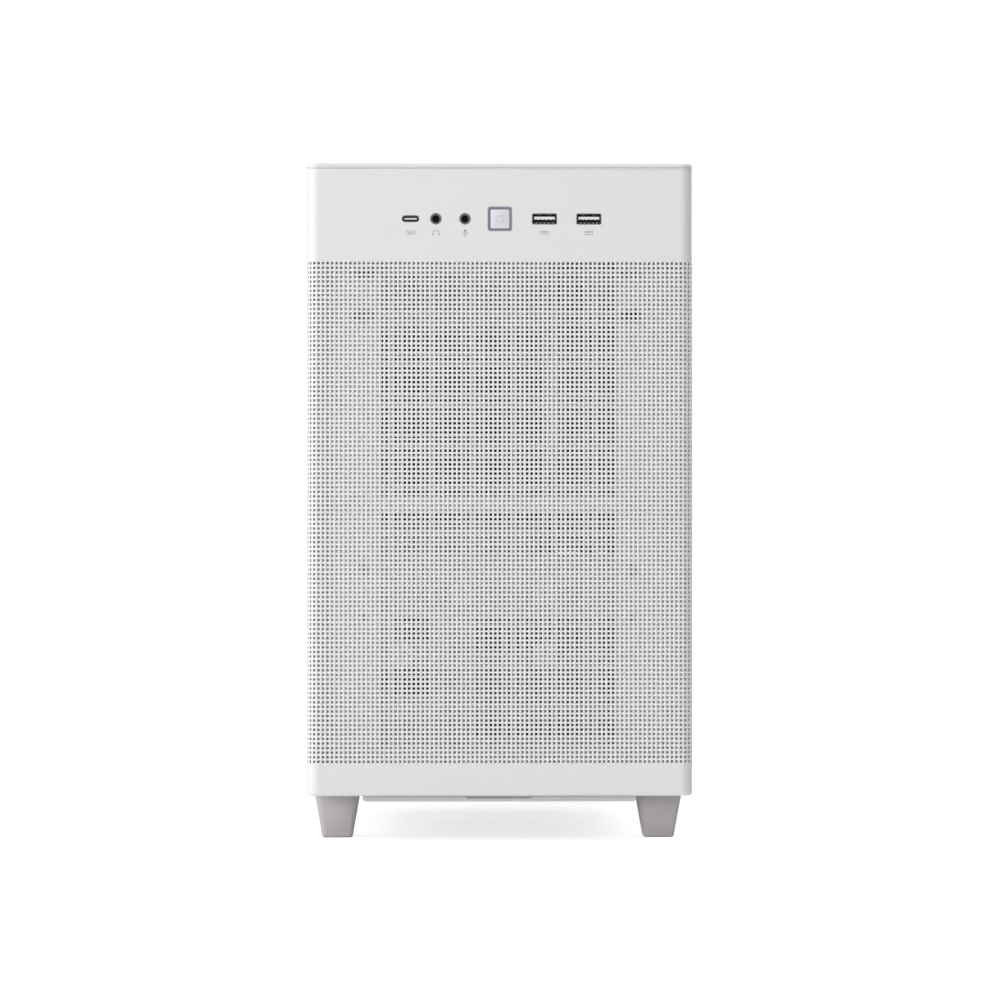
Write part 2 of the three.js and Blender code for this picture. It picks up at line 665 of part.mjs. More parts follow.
// A pocket that a plug or a rocker sits in: its housing behind the front face, and its hollow.
function psuPocket(place, width, height, depth) {
  const front = PSU.y0;
  const around = (grow, from, to) =>
    block(
      place.x - width / 2 - grow,
      place.x + width / 2 + grow,
      from,
      to,
      place.z - height / 2 - grow,
      place.z + height / 2 + grow,
    );
  return {
    housing: around(1.2, front + 0.5, front + depth + 1.2),
    hollow: around(0, front - 1, front + depth),
  };
}

// Its fine exhaust and intake perforation is left as sheet.
function psuCase() {
  const { x, y0, y1, z0, z1, wall } = PSU;
  const shell = cut(
    block(-x, x, y0, y1, z0, z1),
    block(-x + wall, x - wall, y0 + wall, y1 - wall, z0 + wall, z1 - wall),
  );
  const harness = slab(roundedShape(18, 66, 94, 122, 6), "y", y1 - 2, y1 + 1);
  const socket = psuPocket(PSU_INLET, PLUG.width + 2 * GAP, PLUG.height + 2 * GAP, PLUG.nose + GAP);
  const switchWell = psuPocket(ROCKER, ROCKER.width, ROCKER.height, 8);
  const pockets = [socket.housing, switchWell.housing];
  return cut(join(cut(shell, harness), pockets), socket.hollow, switchWell.hollow);
}

// The circuit board lies under the lid with its tall parts hanging towards the fan.
function psuBoard() {
  const top = PSU.z1 - PSU.wall - 4;
  const floor = PSU.z0 + PSU.wall + GAP + 25 + 3;
  const hang = (x0, x1, y0, y1, reach) => block(x0, x1, y0, y1, Math.max(floor, top - reach), top - 1);
  return join(
    block(-68, 68, -158, -32, top - 1.6, top),
    hang(-10, 28, -118, -80, 38),
    hang(36, 40, -150, -60, 42),
    hang(-40, -36, -140, -60, 42),
    hang(-28, -14, -76, -44, 26),
    rod("z", 54, -120, 11, floor + 4, top - 1),
    rod("z", -56, -70, 9, floor + 6, top - 1),
  );
}

// A rocker that tips about a line along Z, with one end of its hollowed face standing out at rest.
function psuRocker() {
  const half = ROCKER.width / 2 - 1.5;
  const rise = ROCKER.height / 2 - 0.5;
  const profile = new THREE.Shape();
  profile.moveTo(-half, -4).lineTo(0, -2.4).lineTo(half, -4);
  profile.lineTo(half - 1, 1.5).lineTo(-half + 1, 1.5).closePath();
  const cap = slab(profile, "z", -rise, rise).rotate([0, 0, -ROCKER.swing / 2]);
  return cap.translate([ROCKER.x, PSU.y0 + ROCKER.pivot, ROCKER.z]);
}

// A sheet bracket that stands on the floor and holds the power supply by its front face.
function psuBracket() {
  const back = PSU.y0 - GAP;
  const plate = rectShape(-78, 78, FRAME_BOTTOM, 152);
  plate.holes.push(roundedHole(-64, -28, 62, 124, 3));
  plate.holes.push(roundedHole(-14, 66, 52, 118, 3));
  const foot = block(-78, 78, back - 0.5, back + 12, FRAME_BOTTOM, FRAME_BOTTOM + FRAME_SHEET);
  const shelf = (x) => block(x, x + 10, back - 0.5, PSU.y1, PSU.z0 - GAP - FRAME_SHEET, PSU.z0 - GAP);
  return join(slab(plate, "y", back - FRAME_SHEET, back), foot, shelf(-75), shelf(65));
}

add("psu_case", psuCase(), BARE_STEEL);
add("psu_board", psuBoard(), BOARD_GREEN);
add("psu_rocker_switch", psuRocker(), BLACK_PLASTIC);
add("psu_bracket", psuBracket(), WHITE_PAINT);

// ---------------------------------------------------------------- rear of the case

const REAR_PORTS = [
  { name: "rear_video_port", z0: 276, z1: 292, height: 7 },
  { name: "rear_usb_ports", z0: 232, z1: 264, height: 16 },
  { name: "rear_network_port", z0: 204, z1: 221, height: 29 },
  { name: "rear_audio_jacks", z0: 176, z1: 189, height: 34 },
];
const PORT_LENGTH = 20;
const PORT_REACH = REAR_WALL_Y + FRAME_SHEET + 0.8;
const PORT_FOOT = BOARD.x - GAP;

function rearPortBlock({ z0, z1, height }) {
  return block(PORT_FOOT - height, PORT_FOOT, PORT_REACH - PORT_LENGTH, PORT_REACH, z0, z1);
}

// A socket cut into the rear face, with an optional tongue left in it.
function socket(x0, x1, z0, z1, tongue) {
  const hollow = block(x0, x1, PORT_REACH - 12, PORT_REACH + 1, z0, z1);
  if (!tongue) return hollow;
  const middle = (x0 + x1) / 2;
  return cut(hollow, block(middle - tongue / 2, middle + tongue / 2, 0, PORT_REACH - 1, z0 + 1, z1 - 1));
}

function rearPort(port) {
  const base = PORT_FOOT;
  const sockets = {
    rear_video_port: () => [socket(base - 5.9, base - 1.3, port.z0 + 1, port.z1 - 1, 1.4)],
    rear_usb_ports: () =>
      [port.z0 + 1.4, port.z0 + 17.4].flatMap((z) => [
        socket(base - 6.6, base - 1.6, z, z + 13.2, 1.8),
        socket(base - 14.4, base - 9.4, z, z + 13.2, 1.8),
      ]),
    rear_network_port: () => [
      socket(base - 7, base - 2, port.z0 + 1.9, port.z1 - 1.9, 1.8),
      socket(base - 15, base - 10, port.z0 + 1.9, port.z1 - 1.9, 1.8),
      socket(base - 27.5, base - 18.5, port.z0 + 2.5, port.z1 - 2.5, 0),
    ],
    rear_audio_jacks: () =>
      [6, 17, 28].map((rise) => {
        const middle = (port.z0 + port.z1) / 2;
        return rod("y", base - rise, middle, 1.8, PORT_REACH - 12, PORT_REACH + 1);
      }),
  };
  return cut(rearPortBlock(port), sockets[port.name]());
}

function ioShield() {
  const { x0, x1, z0, z1, thickness } = SHIELD;
  const sheet = rectShape(x0 + GAP, x1 - GAP, z0 + GAP, z1 - GAP);
  for (const port of REAR_PORTS) {
    sheet.holes.push(
      rectHole(PORT_FOOT - port.height - GAP, PORT_FOOT + GAP, port.z0 - GAP, port.z1 + GAP),
    );
  }
  return slab(sheet, "y", REAR_WALL_Y + GAP, REAR_WALL_Y + GAP + thickness);
}

const PORT_FINISHES = [PORT_METAL, PORT_METAL, PORT_METAL, BLACK_PLASTIC];
REAR_PORTS.forEach((port, i) => add(port.name, rearPort(port), PORT_FINISHES[i]));
add("io_shield", ioShield(), BARE_STEEL);

// A vented strip that closes one card slot from inside.
function slotCover(z) {
  const back = REAR_WALL_Y - GAP;
  const front = back - FRAME_SHEET;
  const strip = block(SLOT.x0, SLOT.x1 - 4, front, back, z - SLOT.cover / 2, z + SLOT.cover / 2);
  const vents = Array.from({ length: 5 }, (_, i) =>
    block(-34 + i * 19, -20 + i * 19, front - 1, back + 1, z - 3.5, z + 3.5),
  );
  return cut(strip, vents);
}

for (let i = 0; i < SLOT.count; i += 1) {
  add("slot_cover_" + (i + 1), slotCover(SLOT.first + i * SLOT.pitch), WHITE_PAINT);
}

// A recessed three-pin inlet, its flange screwed to the outside of the rear wall.
function mainsInlet() {
  const { x, z, cavityX, cavityZ, depth } = INLET;
  const wallBack = REAR_WALL_Y + FRAME_SHEET + GAP;
  const face = wallBack + 2.4;
  const flange = slab(roundedShape(x - 25, x + 25, z - 11.5, z + 11.5, 4), "y", wallBack, face);
  const body = block(x - 14, x + 14, face - depth - 4, face, z - 10, z + 10);
  const cavity = block(
    x - cavityX / 2,
    x + cavityX / 2,
    face - depth,
    face + 1,
    z - cavityZ / 2,
    z + cavityZ / 2,
  );
  const pin = (dx, dz) => block(x + dx - 1, x + dx + 1, face - depth - 1, face - 4, z + dz - 2, z + dz + 2);
  return join(cut(join(flange, body), cavity), pin(-7, -2.5), pin(7, -2.5), pin(0, 2.5));
}

add("mains_inlet", mainsInlet(), BLACK_PLASTIC);

// ---------------------------------------------------------------- cables

// A round cable through hand-placed points.
function cable(points, diameter, steps) {
  const path = new THREE.CatmullRomCurve3(
    points.map((point) => new THREE.Vector3(...point)),
    false,
    "centripetal",
  );
  const section = circleShape(0, 0, diameter / 2);
  return solid(
    new THREE.ExtrudeGeometry(section, { extrudePath: path, steps, curveSegments: 1, bevelEnabled: false }),
  );
}

// From a right-angled plug in the power supply, along the floor, to the back of the mains inlet.
function mainsLead() {
  const inletBack = REAR_WALL_Y + FRAME_SHEET + GAP + 2.4 - INLET.depth - 4 - GAP;
  const halfWidth = PLUG.width / 2;
  const halfHeight = PLUG.height / 2;
  const plug = block(
    PSU_INLET.x - halfWidth,
    PSU_INLET.x + halfWidth,
    -190,
    PSU.y0 + PLUG.nose,
    PSU_INLET.z - halfHeight,
    PSU_INLET.z + halfHeight,
  );
  const tail = cable(
    [
      [PSU_INLET.x - 11, -181, PSU_INLET.z],
      [-61, -181, 84],
      [-75, -178.7, 81],
      [-85.2, -172.6, 72.8],
      [-89, -164.2, 61.6],
      [-89, -151.9, 45.2],
      [-89, -142, 37],
      [-89, -129.5, 34],
      [-89, -20, 34],
      [-89, 90, 34],
      [-88, 110, 34.5],
      [-82.5, 135, 37],
      [-72, 160, 41.2],
      [-64.5, 180, 44.2],
      [-62, 195, INLET.z],
      [-62, inletBack, INLET.z],
    ],
    7,
    34,
  );
  return join(plug, tail);
}

add("mains_extension_lead", mainsLead(), BLACK_RUBBER);
add(
  "main_power_cable",
  cable(
    [
      [30, PSU.y1 + GAP, 108],
      [30, -18, 109],
      [30, -9, 115],
      [30.3, -3.5, 125],
      [31, -2.5, 140],
      [34, -6, 165],
      [37.5, -11, 188],
      [40, -12.8, 200],
      [46.5, -13, 211],
      [56, -13, 215.6],
      [BOARD.x - 12 - GAP, -13, 216],
    ],
    11,
    22,
  ),
  BLACK_RUBBER,
);
add(
  "cpu_power_cable",
  cable(
    [
      [54, PSU.y1 + GAP, 108],
      [54.3, -19, 108.6],
      [55.5, -11.5, 114],
      [57.5, -9.5, 123],
      [60.5, -12.5, 134],
      [66, -21, 146],
      [75.5, -31.5, 157],
      [85.5, -37, 168],
      [92.5, -35.5, 180],
      [94.5, -24, 194],
      [94.5, 0, 211],
      [94.5, 90, 270],
      [94.5, 160, 314],
      [94.5, 186, 328],
      [91, 197, 331],
      [83, 202, 331],
      [60, 203, 331],
      [50, 203.5, 326.7],
      [45.8, 204, 316.7],
      [50, 204.5, 306.6],
      [59, 205, 302.5],
      [BOARD.x - 12 - GAP, 205, 302.5],
    ],
    6,
    52,
  ),
  BLACK_RUBBER,
);
add(
  "front_io_cable",
  cable(
    [
      [40, -207.5, IO_SHELF.z0 - GAP],
      [40, -207.5, 319.8],
      [40, -206.3, 316.6],
      [40, -202.7, 313.8],
      [40, -198, 312.5],
      [40, -188, 312.3],
      [41, -170, 309],
      [46, -140, 296],
      [52, -110, 268],
      [53, -80, 228],
      [51, -55, 190],
      [50.5, -36, 165],
      [54, -22.5, 153.5],
      [61, -16, 150.2],
      [BOARD.x - 8 - GAP, -15, 150],
    ],
    5,
    44,
  ),
  BLACK_RUBBER,
);
add(
  "rear_fan_lead",
  cable(
    [
      [REAR_FAN.x + 60 + GAP, 212, 176],
      [36.5, 212, 175.3],
      [41.5, 210.5, 173],
      [46, 205.5, 171.3],
      [50, 197.5, 170.6],
      [54.5, 189, 171.2],
      [60, 184, 172.4],
      [65.5, 183, 173],
      [BOARD.x - 7 - GAP, 183, 173],
    ],
    3,
    16,
  ),
  BLACK_RUBBER,
);
add(
  "cooler_fan_lead",
  cable(
    [
      [26, CPU.y - 30, CPU.z + 46 + GAP],
      [26, CPU.y - 30, 273],
      [27.5, 108.4, 278.5],
      [32.5, 106.5, 283],
      [40, 103, 285.6],
      [50, 97.5, 286],
      [60, 92.6, 285.5],
      [65.5, 91.1, 285],
      [BOARD.x - 7 - GAP, 91, 285],
    ],
    3,
    16,
  ),
  BLACK_RUBBER,
);

export default tower;
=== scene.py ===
"""The looks of a desktop computer tower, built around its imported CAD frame. Shapes are in millimetres."""

import math

import bmesh
import bpy
import numpy as np
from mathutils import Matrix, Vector
from mathutils.geometry import delaunay_2d_cdt


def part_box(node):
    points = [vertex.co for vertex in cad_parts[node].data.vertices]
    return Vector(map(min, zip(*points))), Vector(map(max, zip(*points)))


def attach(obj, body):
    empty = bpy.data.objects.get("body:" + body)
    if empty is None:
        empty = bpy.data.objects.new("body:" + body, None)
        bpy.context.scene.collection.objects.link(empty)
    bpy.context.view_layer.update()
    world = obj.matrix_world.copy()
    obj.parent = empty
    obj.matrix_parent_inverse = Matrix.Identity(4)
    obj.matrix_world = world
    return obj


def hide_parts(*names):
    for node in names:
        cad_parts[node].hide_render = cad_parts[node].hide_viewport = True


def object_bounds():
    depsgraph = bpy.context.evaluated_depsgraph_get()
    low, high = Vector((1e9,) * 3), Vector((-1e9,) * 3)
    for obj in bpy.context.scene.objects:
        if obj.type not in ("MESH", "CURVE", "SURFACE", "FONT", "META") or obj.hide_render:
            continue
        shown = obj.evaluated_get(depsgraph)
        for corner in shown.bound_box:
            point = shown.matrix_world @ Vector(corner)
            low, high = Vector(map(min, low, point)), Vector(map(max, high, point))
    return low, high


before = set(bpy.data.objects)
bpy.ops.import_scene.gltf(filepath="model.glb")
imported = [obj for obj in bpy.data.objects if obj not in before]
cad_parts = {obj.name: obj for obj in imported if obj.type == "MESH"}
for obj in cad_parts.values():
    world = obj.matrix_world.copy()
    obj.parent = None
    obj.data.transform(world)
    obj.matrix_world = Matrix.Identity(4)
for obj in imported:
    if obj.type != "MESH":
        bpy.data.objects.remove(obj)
cad_box = [list(corner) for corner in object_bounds()]
MM = 0.001
TAU = 2 * math.pi


def box_mm(node):
    """A CAD node's lowest and highest corner in millimetres."""
    low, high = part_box(node)
    return low / MM, high / MM


def middle_mm(node):
    """The middle of a CAD node's box, as x, y and z in millimetres."""
    return [sum(pair) / 2 for pair in zip(*box_mm(node))]


# ---------------------------------------------------------------- materials

ROUGHNESS_SPREAD = 0.06


def node_material(name):
    material = bpy.data.materials.new(name)
    material.use_nodes = True
    tree = material.node_tree
    return material, tree, tree.nodes["Principled BSDF"]


def add_node(tree, kind, inputs=None, **settings):
    node = tree.nodes.new(kind)
    for key, value in settings.items():
        setattr(node, key, value)
    for key, value in (inputs or {}).items():
        if isinstance(value, bpy.types.NodeSocket):
            tree.links.new(value, node.inputs[key])
        else:
            node.inputs[key].default_value = value
    return node


def rgba(color):
    return (*color, 1.0)


def shade(color, factor):
    return tuple(min(1.0, c * factor) for c in color)


def object_coordinates(tree, scale=(1, 1, 1)):
    coordinates = add_node(tree, "ShaderNodeTexCoord")
    mapping = add_node(tree, "ShaderNodeMapping", {"Vector": coordinates.outputs["Object"], "Scale": scale})
    return mapping.outputs["Vector"]


def ramp_range(tree, value, low, high):
    node = add_node(tree, "ShaderNodeMapRange", {"Value": value, "To Min": low, "To Max": high})
    return node.outputs["Result"]


def surface(
    name,
    color,
    roughness,
    metallic=0.0,
    grain=1800.0,
    bump=0.01,
    tone=0.03,
    tone_scale=14.0,
    stretch=(1, 1, 1),
):
    """Colour that drifts slowly, with a fine grain in roughness and normal. bump is in millimetres."""
    material, tree, shader = node_material(name)
    place = object_coordinates(tree)
    drift = add_node(tree, "ShaderNodeTexNoise", {"Vector": place, "Scale": tone_scale, "Detail": 3.0})
    blend = add_node(
        tree,
        "ShaderNodeMix",
        {0: drift.outputs["Fac"], 6: rgba(shade(color, 1 - tone)), 7: rgba(shade(color, 1 + tone))},
        data_type="RGBA",
    )
    tree.links.new(blend.outputs[2], shader.inputs["Base Color"])
    fine_place = object_coordinates(tree, stretch)
    fine = add_node(tree, "ShaderNodeTexNoise", {"Vector": fine_place, "Scale": grain, "Detail": 2.0})
    lowest, highest = roughness - ROUGHNESS_SPREAD, roughness + ROUGHNESS_SPREAD
    rough = ramp_range(tree, fine.outputs["Fac"], lowest, highest)
    tree.links.new(rough, shader.inputs["Roughness"])
    relief = add_node(
        tree,
        "ShaderNodeBump",
        {"Height": fine.outputs["Fac"], "Distance": bump * MM, "Strength": 1.0},
    )
    tree.links.new(relief.outputs["Normal"], shader.inputs["Normal"])
    shader.inputs["Metallic"].default_value = metallic
    return material


def plain(name, color, roughness, metallic=0.0):
    """Constant values, for pieces with tens of thousands of holes, whose detail is all in their shape."""
    material, _, shader = node_material(name)
    shader.inputs["Base Color"].default_value = rgba(color)
    shader.inputs["Roughness"].default_value = roughness
    shader.inputs["Metallic"].default_value = metallic
    return material


def fine_plastic(name, color, tone):
    return surface(name, color, 0.45, grain=2500, bump=0.003, tone=tone)


WHITE = (0.83, 0.822, 0.818)

PAINT = surface("white_powder_coat", WHITE, 0.5, grain=1500, bump=0.012, tone=0.012)
# A lighter copy of the white powder coat: painted light, so that the perforated sheets and the inner front
# wall behind them read brighter than the light reaching them makes them.
MESH_PAINT_WITH_PAINTED_LIGHT = plain("white_powder_coat_lightened_as_painted_light", (0.87, 0.865, 0.863), 0.5)
WHITE_PLASTIC = surface("white_plastic", (0.80, 0.795, 0.80), 0.42, grain=3000, bump=0.004, tone=0.01)
LAVENDER = surface("lavender_plastic", (0.62, 0.60, 0.63), 0.45, grain=2500, bump=0.006, tone=0.03)
BEZEL = surface("bezel_plastic", (0.27, 0.27, 0.36), 0.35, grain=3000, bump=0.003, tone=0.03)
FOOT = surface("foot_plastic", (0.505, 0.475, 0.47), 0.42, grain=1700, bump=0.01, tone=0.05, tone_scale=60)
PAD = surface("pad_rubber", (0.22, 0.21, 0.205), 0.8, grain=900, bump=0.03, tone=0.08, tone_scale=90)
JACK_RING = surface("jack_plastic", (0.17, 0.16, 0.155), 0.32, grain=3000, bump=0.003, tone=0.05)
BLACK = surface("black_plastic", (0.022, 0.022, 0.024), 0.42, grain=2200, bump=0.008, tone=0.2, tone_scale=60)
DARK_METAL = surface(
    "dark_port_metal", (0.13, 0.115, 0.105), 0.36, metallic=0.85, grain=800, bump=0.004, tone=0.08
)
NICKEL = surface("nickel", (0.55, 0.54, 0.52), 0.28, metallic=1.0, grain=600, bump=0.002, tone=0.05)
ZINC = surface(
    "zinc_steel", (0.52, 0.53, 0.54), 0.36, metallic=1.0, grain=160, bump=0.004, tone=0.12, tone_scale=45
)
ALUMINIUM = surface(
    "milled_aluminium", (0.66, 0.67, 0.68), 0.33, metallic=1.0, grain=500, bump=0.004, stretch=(1, 1, 12)
)
RUBBER = surface("cable_sheath", (0.025, 0.025, 0.026), 0.6, grain=1200, bump=0.02, tone=0.15, tone_scale=90)
PRINT = surface("grey_print", (0.40, 0.40, 0.41), 0.55, grain=2500, bump=0.002, tone=0.05, tone_scale=200)
TONGUE_WHITE = fine_plastic("tongue_plastic", (0.90, 0.89, 0.87), 0.02)
TONGUE_BLUE = fine_plastic("tongue_blue", (0.05, 0.16, 0.42), 0.04)
JACK_PINK = fine_plastic("jack_pink", (0.62, 0.22, 0.28), 0.04)
JACK_GREEN = fine_plastic("jack_green", (0.25, 0.48, 0.16), 0.04)
JACK_BLUE = fine_plastic("jack_blue", (0.16, 0.35, 0.58), 0.04)
# Dark plastic for the sockets' housings and the slots under their tongues, and also a sleeve over the inside
# of the metal shells: painted shade inside the sockets.
SOCKET_PLASTIC_AND_SHADE = fine_plastic("socket_plastic_and_painted_shade", (0.035, 0.03, 0.027), 0.1)
BUTTON_PLASTIC = surface("button_plastic", (0.79, 0.785, 0.83), 0.4, grain=3000, bump=0.003, tone=0.01)
BUTTON_MARK = surface("button_mark", (0.60, 0.60, 0.68), 0.45, grain=3000, bump=0.002, tone=0.02)
CONTACT = surface("dull_contact", (0.36, 0.33, 0.30), 0.4, metallic=0.3, grain=900, bump=0.002, tone=0.08)
BOARD = surface("solder_mask", (0.02, 0.032, 0.028), 0.35, grain=500, bump=0.01, tone=0.2, tone_scale=140)
# Black plastic made darker and rougher than the other black plastic: painted shade deep in the jack bores and
# on the jack bodies behind them.
BORE_PAINTED_SHADE = plain("black_bore_with_painted_shade", (0.008, 0.008, 0.008), 0.9)
FILTER_MESH = plain("filter_mesh", (0.12, 0.115, 0.13), 0.7)
ZINC_MESH = plain("zinc_coated_mesh", (0.46, 0.47, 0.48), 0.42, 0.7)

# ---------------------------------------------------------------- shapes


class Body:
    """Closed solids in millimetres, each face with the number of its material."""

    def __init__(self, *materials):
        self.materials = materials
        self.points = []
        self.faces = []
        self.kinds = []
        self.creases = []

    def add(self, points, faces, kind=0, creases=()):
        start = len(self.points)
        self.points.extend(tuple(float(c) for c in point) for point in points)
        self.faces.extend(tuple(start + i for i in face) for face in faces)
        self.kinds.extend([kind] * len(faces))
        self.creases.extend((a + start, b + start) for a, b in creases)


AXES = {"x": (1, 2, 0), "y": (0, 2, 1), "z": (0, 1, 2)}


def along(axis, at=(0.0, 0.0, 0.0)):
    """Turns (u, v, w) into a point: w runs along the axis, u and v along the other two in order."""
    order = AXES[axis]

    def place(u, v, w):
        point = [None] * 3
        for value, index in zip((u, v, w), order):
            point[index] = value + at[index]
        return point

    return place


def arc(u, v, radius, start, end, steps):
    return [(u + radius * math.cos(t), v + radius * math.sin(t)) for t in np.linspace(start, end, steps + 1)]


def circle(u, v, radius, steps=32):
    return arc(u, v, radius, 0, TAU, steps)[:-1]


def rectangle(u0, u1, v0, v1):
    return [(u0, v0), (u1, v0), (u1, v1), (u0, v1)]


def rounded(u0, u1, v0, v1, radius, steps=5):
    q = math.pi / 2
    return (
        arc(u1 - radius, v0 + radius, radius, -q, 0, steps)
        + arc(u1 - radius, v1 - radius, radius, 0, q, steps)
        + arc(u0 + radius, v1 - radius, radius, q, 2 * q, steps)
        + arc(u0 + radius, v0 + radius, radius, 2 * q, 3 * q, steps)
    )


def loft(body, rings, closed=False, kind=0):
    """Joins rings of equally many points. A closed one returns to its first ring, an open one is capped."""
    n = len(rings[0])
    count = len(rings)
    points = [point for ring in rings for point in ring]
    faces = []
    for k in range(count if closed else count - 1):
        a, b = k * n, (k + 1) % count * n
        faces += [(a + i, a + (i + 1) % n, b + (i + 1) % n, b + i) for i in range(n)]
    if not closed:
        faces += [tuple(reversed(range(n))), tuple(range((count - 1) * n, count * n))]
    body.add(points, faces, kind)


def prism(body, outline, w0, w1, place, kind=0):
    loft(body, [[place(u, v, w) for u, v in outline] for w in (w0, w1)], kind=kind)


def block(body, x0, x1, y0, y1, z0, z1, kind=0):
    prism(body, rectangle(x0, x1, y0, y1), z0, z1, along("z"), kind)


def inside(points, outline):
    """Which of the points lie inside an outline."""
    x, y = points[:, 0:1], points[:, 1:2]
    a = np.array(outline, float)
    b = np.roll(a, -1, axis=0)
    crosses = (a[:, 1] > y) != (b[:, 1] > y)
    rise = np.where(b[:, 1] == a[:, 1], 1e-12, b[:, 1] - a[:, 1])
    at = a[:, 0] + (y - a[:, 1]) * (b[:, 0] - a[:, 0]) / rise
    return (crosses & (x < at)).sum(axis=1) % 2 == 1


def grown(loop, distance):
    """An outline moved outwards by a distance, or inwards by a negative one."""
    p = np.array(loop, float)
    ahead = np.roll(p, -1, axis=0) - p
    ahead /= np.linalg.norm(ahead, axis=1)[:, None]
    normal = np.stack([ahead[:, 1], -ahead[:, 0]], axis=1)
    area = (p[:, 0] * np.roll(p[:, 1], -1) - np.roll(p[:, 0], -1) * p[:, 1]).sum()
    both = normal + np.roll(normal, 1, axis=0)
    return p + 2 * distance * math.copysign(1, area) * both / (both**2).sum(axis=1)[:, None]


def split_at(loop, bends):
    """A loop with a point wherever it crosses a bend."""
    result = []
    for a, b in zip(loop, loop[1:] + loop[:1]):
        result.append(a)
        low, high = sorted((a[0], b[0]))
        for u in sorted((u for u in bends if low + 1e-6 < u < high - 1e-6), reverse=a[0] > b[0]):
            result.append((u, a[1] + (u - a[0]) / (b[0] - a[0]) * (b[1] - a[1])))
    return result


def cap(loops, bends):
    """The triangles between an outline and its holes, and where each loop's points went."""
    points, edges = [], []
    for loop in loops:
        start = len(points)
        points += [Vector(p) for p in loop]
        edges += [(start + i, start + (i + 1) % len(loop)) for i in range(len(loop))]
    v_low, v_high = min(p[1] for p in loops[0]), max(p[1] for p in loops[0])
    for u in bends:
        edges.append((len(points), len(points) + 1))
        points += [Vector((u, v_low)), Vector((u, v_high))]
    verts, _, faces, sources, *_ = delaunay_2d_cdt(points, edges, [], 0, 1e-6)
    flat = np.array([tuple(v) for v in verts])
    middles = np.array([flat[list(face)].mean(axis=0) for face in faces])
    keep = inside(middles, loops[0])
    for hole in loops[1:]:
        keep &= ~inside(middles, hole)
    index = {source: i for i, given in enumerate(sources) for source in given}
    where, start = [], 0
    for loop in loops:
        where.append([index[start + i] for i in range(len(loop))])
        start += len(loop)
    return flat, [tuple(face) for face, good in zip(faces, keep) if good], where


def plate(body, outline, holes, w0, w1, place, kind=0, bends=(), ease=0.0, hole_ease=0.0):
    """A sheet with holes of any outline. bends are the u at which its faces are split, so that it can curve,
    and ease rounds the edges of its face at w0."""
    loops = [split_at(list(map(tuple, loop)), bends) for loop in [outline, *holes]]
    eases = [ease] + [hole_ease] * len(holes)
    into = math.copysign(1, w1 - w0)

    def levels(k):
        radius, away = eases[k], 1 if k else -1
        turns = np.linspace(0, math.pi / 2, 5) if radius else [math.pi / 2]
        return [
            (grown(loops[k], away * radius * (1 - math.sin(t))), w0 + into * radius * (1 - math.cos(t)))
            for t in turns
        ]

    rims = [levels(k) for k in range(len(loops))]
    points, faces, rows = [], [], []
    for w, fronts, turned in ((w0, [rim[0][0] for rim in rims], True), (w1, loops, False)):
        flat, kept, where = cap(fronts, bends)
        start = len(points)
        points += [place(u, v, w) for u, v in flat]
        faces += [tuple(i + start for i in (reversed(face) if turned else face)) for face in kept]
        rows.append([[i + start for i in loop] for loop in where])
    creases = []
    for k, rim in enumerate(rims):
        chain = [rows[0][k]]
        for loop, w in rim[1:]:
            chain.append(list(range(len(points), len(points) + len(loop))))
            points += [place(u, v, w) for u, v in loop]
        chain.append(rows[1][k])
        n = len(loops[k])
        for a, b in zip(chain, chain[1:]):
            faces += [(a[i], a[(i + 1) % n], b[(i + 1) % n], b[i]) for i in range(n)]
        creases += [(chain[0][i], chain[0][(i + 1) % n]) for i in range(n)]
    body.add(points, faces, kind, creases)


def lathe(body, profile, place, steps=32, kind=0, ring=False):
    """Turns (radius, w) pairs round the w axis. The profile ends on the axis, or is a ring that closes."""
    angles = np.linspace(0, TAU, steps, endpoint=False)
    points, faces, rows = [], [], []
    for radius, w in profile:
        start = len(points)
        if radius == 0:
            points.append(place(0, 0, w))
            rows.append([start] * steps)
        else:
            points += [place(radius * math.cos(t), radius * math.sin(t), w) for t in angles]
            rows.append(list(range(start, start + steps)))
    pairs = list(zip(rows, rows[1:])) + ([(rows[-1], rows[0])] if ring else [])
    for a, b in pairs:
        for i in range(steps):
            j = (i + 1) % steps
            corners = [a[i], a[j], b[j], b[i]]
            faces.append(tuple(dict.fromkeys(corners)))
    body.add(points, [face for face in faces if len(face) > 2], kind)


def smooth_path(points):
    """A centripetal curve through the points, in eight steps from each to the next."""
    steps = 8
    p = np.array(points, float)
    p = np.vstack([2 * p[0] - p[1], p, 2 * p[-1] - p[-2]])
    knots = np.concatenate([[0], np.cumsum(np.linalg.norm(np.diff(p, axis=0), axis=1) ** 0.5)])
    curve = []
    for i in range(1, len(p) - 2):
        t0, t1, t2, t3 = knots[i - 1 : i + 3]
        for t in np.linspace(t1, t2, steps, endpoint=False):
            a1 = p[i - 1] * (t1 - t) / (t1 - t0) + p[i] * (t - t0) / (t1 - t0)
            a2 = p[i] * (t2 - t) / (t2 - t1) + p[i + 1] * (t - t1) / (t2 - t1)
            a3 = p[i + 1] * (t3 - t) / (t3 - t2) + p[i + 2] * (t - t2) / (t3 - t2)
            b1 = a1 * (t2 - t) / (t2 - t0) + a2 * (t - t0) / (t2 - t0)
            b2 = a2 * (t3 - t) / (t3 - t1) + a3 * (t - t1) / (t3 - t1)
            curve.append(b1 * (t2 - t) / (t2 - t1) + b2 * (t - t1) / (t2 - t1))
    return np.array([*curve, p[-2]])


